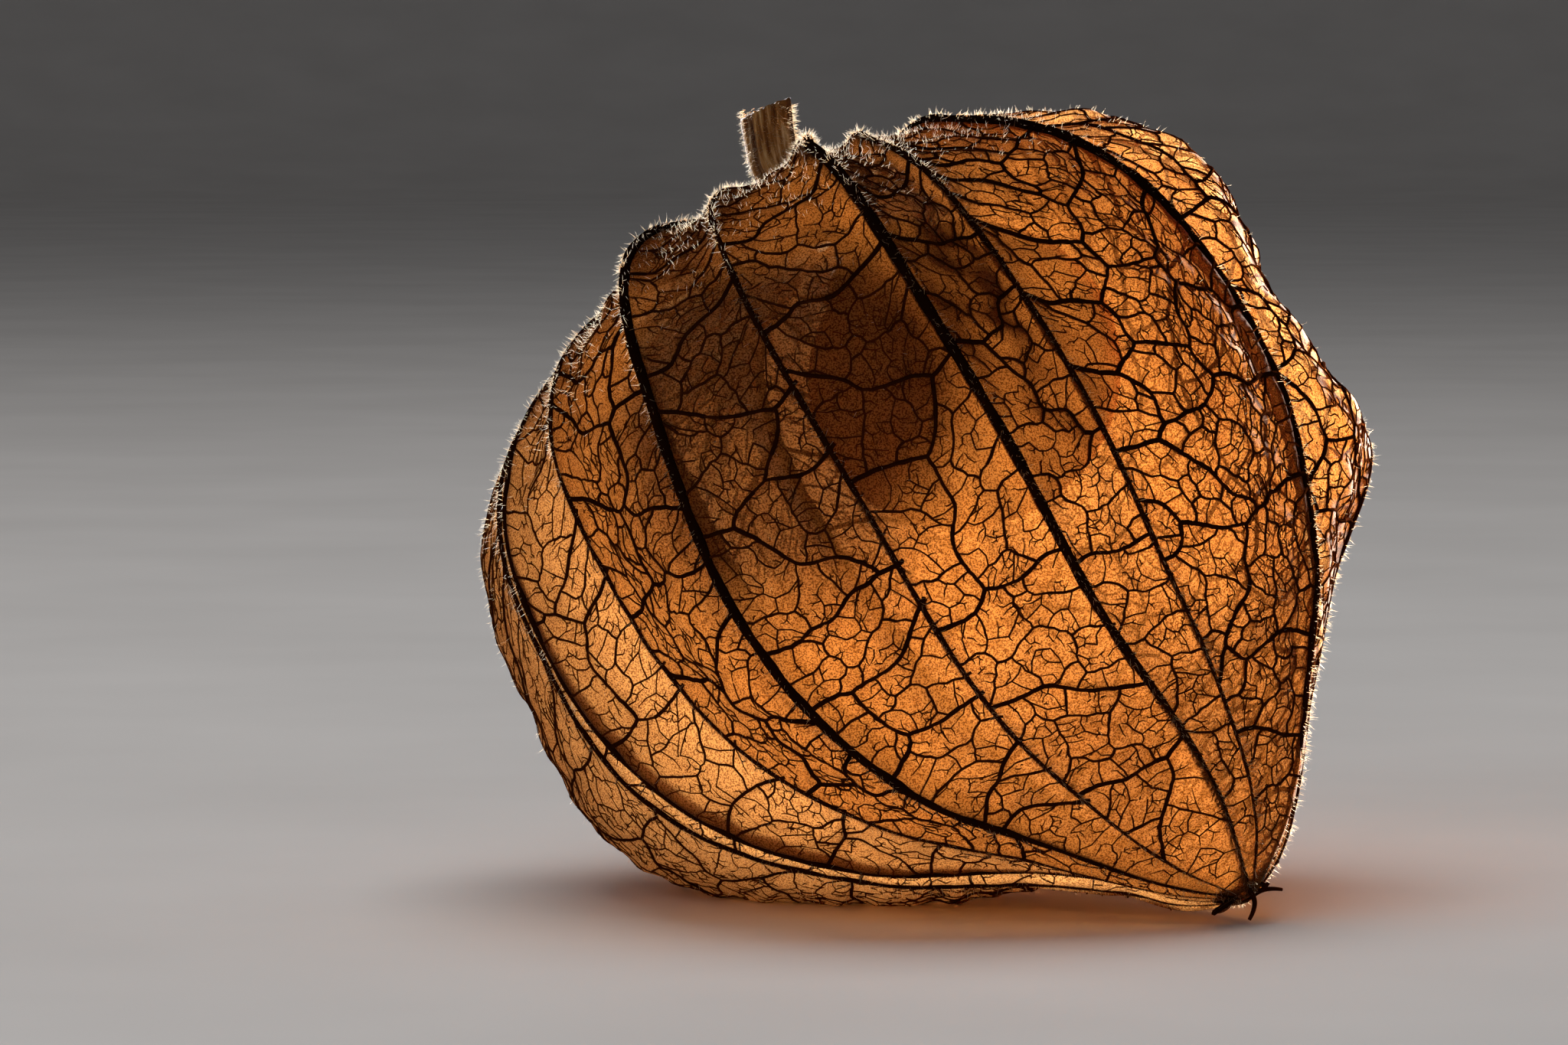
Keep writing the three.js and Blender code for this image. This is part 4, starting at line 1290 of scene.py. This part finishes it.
def stem_hair_roots():
    """Where hairs stand on the stem outside the husk, and which way out is."""
    line, heading = stem_line()
    step = rng.integers(int(STEM_STEPS * (KNUCKLE_PLACE + HAIRLESS_STEM)), STEM_STEPS, HAIRS_ON_STEM)
    out = rng.normal(size=(HAIRS_ON_STEM, 3))
    out = unit(out - heading[step] * np.sum(out * heading[step], 1, keepdims=True))
    return line[step] + out * STEM_RADIUS * MM, out


def hair_mesh():
    """Every hair as a closed three-sided spike."""
    grown = (sheet_hair_roots(), rib_hair_roots(), stem_hair_roots())
    roots, ups = (np.concatenate(both) for both in zip(*grown))
    count = len(roots)
    aim = unit(ups + np.array(apexward) * HAIR_LEAN + rng.normal(0, HAIR_SPREAD, (count, 3)))
    lengths = rng.uniform(*HAIR_LENGTHS, count)[:, None]
    aside = unit(np.cross(aim, rng.normal(size=(count, 3))))
    other = np.cross(aim, aside)
    start = roots - ups * HAIR_ROOT * MM
    corners = []
    for angle in np.arange(3) * 2 * math.pi / 3:
        corners.append(start + (aside * math.cos(angle) + other * math.sin(angle)) * HAIR_WIDTH / 2 * MM)
    corners.append(start + aim * lengths * MM)
    points = above_table(np.stack(corners, 1).reshape(-1, 3))
    first = (np.arange(count) * 4)[:, None, None]
    faces = (first + np.array([[0, 1, 3], [1, 2, 3], [2, 0, 3], [2, 1, 0]])[None]).reshape(-1, 3)
    mesh = new_mesh("silvery_hairs", points, faces.tolist())
    keep_values(mesh, "tip_share", np.tile([0, 0, 0, 1], count))
    return mesh


def hair_wall():
    """Plant hair: a hollow cell wall, glassy and pale, straw-coloured at its root."""
    material, tree = new_material("dried_plant_hair")
    tip_share = add(tree, "Attribute", {"attribute_name": "tip_share"})
    straw = add(tree, "ValToRGB", {
        "stops": ((0.0, "#5a3418"), (0.5, "#9a7448"), (1.0, "#c8a87c")),
    }, [("Fac", tip_share, "Fac")])
    silver = add(tree, "ValToRGB", {
        "stops": ((0.0, "#d8a468"), (0.3, "#f4e6cc"), (1.0, "#fffaf2")),
    }, [("Fac", tip_share, "Fac")])
    shader = add(tree, "BsdfPrincipled", {"Roughness": 0.5, "Specular IOR Level": 0.2}, [
        ("Base Color", straw, "Color"),
    ])
    glow = add(tree, "BsdfTranslucent", {}, [("Color", silver, "Color")])
    mixed = add(tree, "MixShader", {0: 0.7}, [(1, shader, 0), (2, glow, 0)])
    add(tree, "OutputMaterial", {}, [("Surface", mixed, 0)])
    return material


hairs = new_object("silvery_hairs", hair_mesh(), hair_wall())
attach(hairs, "root")


# Table, light and camera: a round pale plaster table top that curves up all round. Two small warm
# lamps low behind the fruit make the husk glow and throw the berry's shadow on it, softboxes light the
# hairs, the front and the table, and a long lens looks on from nearly level with the fruit.
SWEEP_START = 1.6  # how far out, in metres, the table starts to curve up
SWEEP_RADIUS = 0.5
SWEEP_STEPS = 16
SWEEP_SIDES = 96
FLAT_RADIUS = 0.4
TABLE_DROP = 0.00005  # keeps the table off the faces that rest on it


def sweep_mesh():
    """A round table top that curves up all round far away, so that no edge shows."""
    line = [(FLAT_RADIUS, 0.0)]
    for step in range(SWEEP_STEPS + 1):
        angle = step / SWEEP_STEPS * math.pi / 2
        line.append((SWEEP_START + SWEEP_RADIUS * math.sin(angle), SWEEP_RADIUS * (1 - math.cos(angle))))
    points, faces = [(0.0, 0.0, 0.0)], []
    for radius, height in line:
        for side in range(SWEEP_SIDES):
            turn = 2 * math.pi * side / SWEEP_SIDES
            points.append((radius * math.cos(turn), radius * math.sin(turn), height))
    for side in range(SWEEP_SIDES):
        after = (side + 1) % SWEEP_SIDES
        faces.append((0, 1 + side, 1 + after))
        for base in range(1, 1 + (len(line) - 1) * SWEEP_SIDES, SWEEP_SIDES):
            faces.append((base + side, base + SWEEP_SIDES + side, base + SWEEP_SIDES + after, base + after))
    mesh = new_mesh("table_top", points, faces)
    mesh.shade_smooth()
    return mesh


def pale_plaster():
    """Smooth matt plaster, nearly white, with faint unevenness."""
    material, tree = new_material("pale_matt_plaster")
    where = add(tree, "TexCoord", {})
    cloud = add(tree, "TexNoise", {"Scale": 1 / (30 * MM), "Detail": 3}, [("Vector", where, "Object")])
    shade = add(tree, "ValToRGB", {"stops": ((0.3, "#dedad5"), (0.7, "#e6e2dd"))}, [("Fac", cloud, "Fac")])
    shader = add(tree, "BsdfPrincipled", {"Roughness": 0.7, "Specular IOR Level": 0.3}, [
        ("Base Color", shade, "Color"),
    ])
    add(tree, "OutputMaterial", {}, [("Surface", shader, 0)])
    return material


floor = new_object("table_top", sweep_mesh(), pale_plaster())
floor.location.z = -TABLE_DROP


def lamp_of(name, kind, place, aim, power, colour, **shape):
    """A lamp at a place in metres, turned to face its aim, with settings of its own kind."""
    data = bpy.data.lights.new(name, kind)
    data.energy = power
    data.color = linear(colour)[:3]
    for setting, value in shape.items():
        setattr(data, setting, value)
    lamp = new_object(name, data)
    lamp.location = place
    lamp.rotation_euler = (Vector(aim) - Vector(place)).to_track_quat("-Z", "Y").to_euler()
    lamp.visible_camera = False
    return lamp


lamps = {}
for name, place, aim, power, cone in (
    ("back_lamp", (0.08, 0.125, 0.036), (0.022, 0, 0.022), 36, 29),
    ("lobe_lamp", (-0.04, 0.12, 0), (-0.022, 0, 0.002), 12, 13),
):
    lamps[name] = lamp_of(
        name, "SPOT", place, aim, power, "#fff6ea",
        spot_size=math.radians(cone), spot_blend=1.0, shadow_soft_size=0.02,
    )
for name, place, aim, size, power, colour in (
    ("rim_light", (-0.14, 0.36, 0.2), (0, 0, 0.03), 0.12, 16, "#f4f6ff"),
    ("front_fill", (-0.25, -0.45, 0.35), (0, 0, 0.015), 0.4, 0.4, "#f4f6ff"),
    ("table_light", (-0.05, 0.0, 0.6), (0, 0, 0), 0.5, 2.0, "#fafafc"),
):
    lamps[name] = lamp_of(name, "AREA", place, aim, power, colour, size=size)

# The small lamps behind spare the table and the pale stem, the rim light falls on hairs and stem alone,
# and the table has a softbox of its own.
spared = bpy.data.collections.new("spared_by_small_lamps")
spared.objects.link(floor)
spared.objects.link(pedicel)
for held in spared.collection_objects:
    held.light_linking.link_state = "EXCLUDE"
for name in ("back_lamp", "lobe_lamp"):
    lamps[name].light_linking.receiver_collection = spared
for name, lit_things in (("rim_light", (hairs, pedicel)), ("table_light", (floor,))):
    lit_alone = bpy.data.collections.new("lit_by_" + name)
    for thing in lit_things:
        lit_alone.objects.link(thing)
    lamps[name].light_linking.receiver_collection = lit_alone

world = bpy.data.worlds.new("pale_room")
world.use_nodes = True
world.node_tree.nodes["Background"].inputs["Color"].default_value = linear("#e6e6ea")
world.node_tree.nodes["Background"].inputs["Strength"].default_value = 0.1
bpy.context.scene.world = world
bpy.context.scene.view_settings.view_transform = "Standard"

CAMERA_DISTANCE = 298
CAMERA_RISE = math.radians(4)
CAMERA_AIM = Vector((-11.96, 0, 4.77))
aim = lantern_middle + CAMERA_AIM * MM
sight = Vector((0, math.cos(CAMERA_RISE), -math.sin(CAMERA_RISE)))
lens = bpy.data.cameras.new("long_lens")
lens.lens = 150
lens.sensor_width = 36
lens.clip_start = 0.01
camera = new_object("camera", lens)
camera.location = aim - sight * CAMERA_DISTANCE * MM
camera.rotation_euler = sight.to_track_quat("-Z", "Y").to_euler()
bpy.context.scene.camera = camera
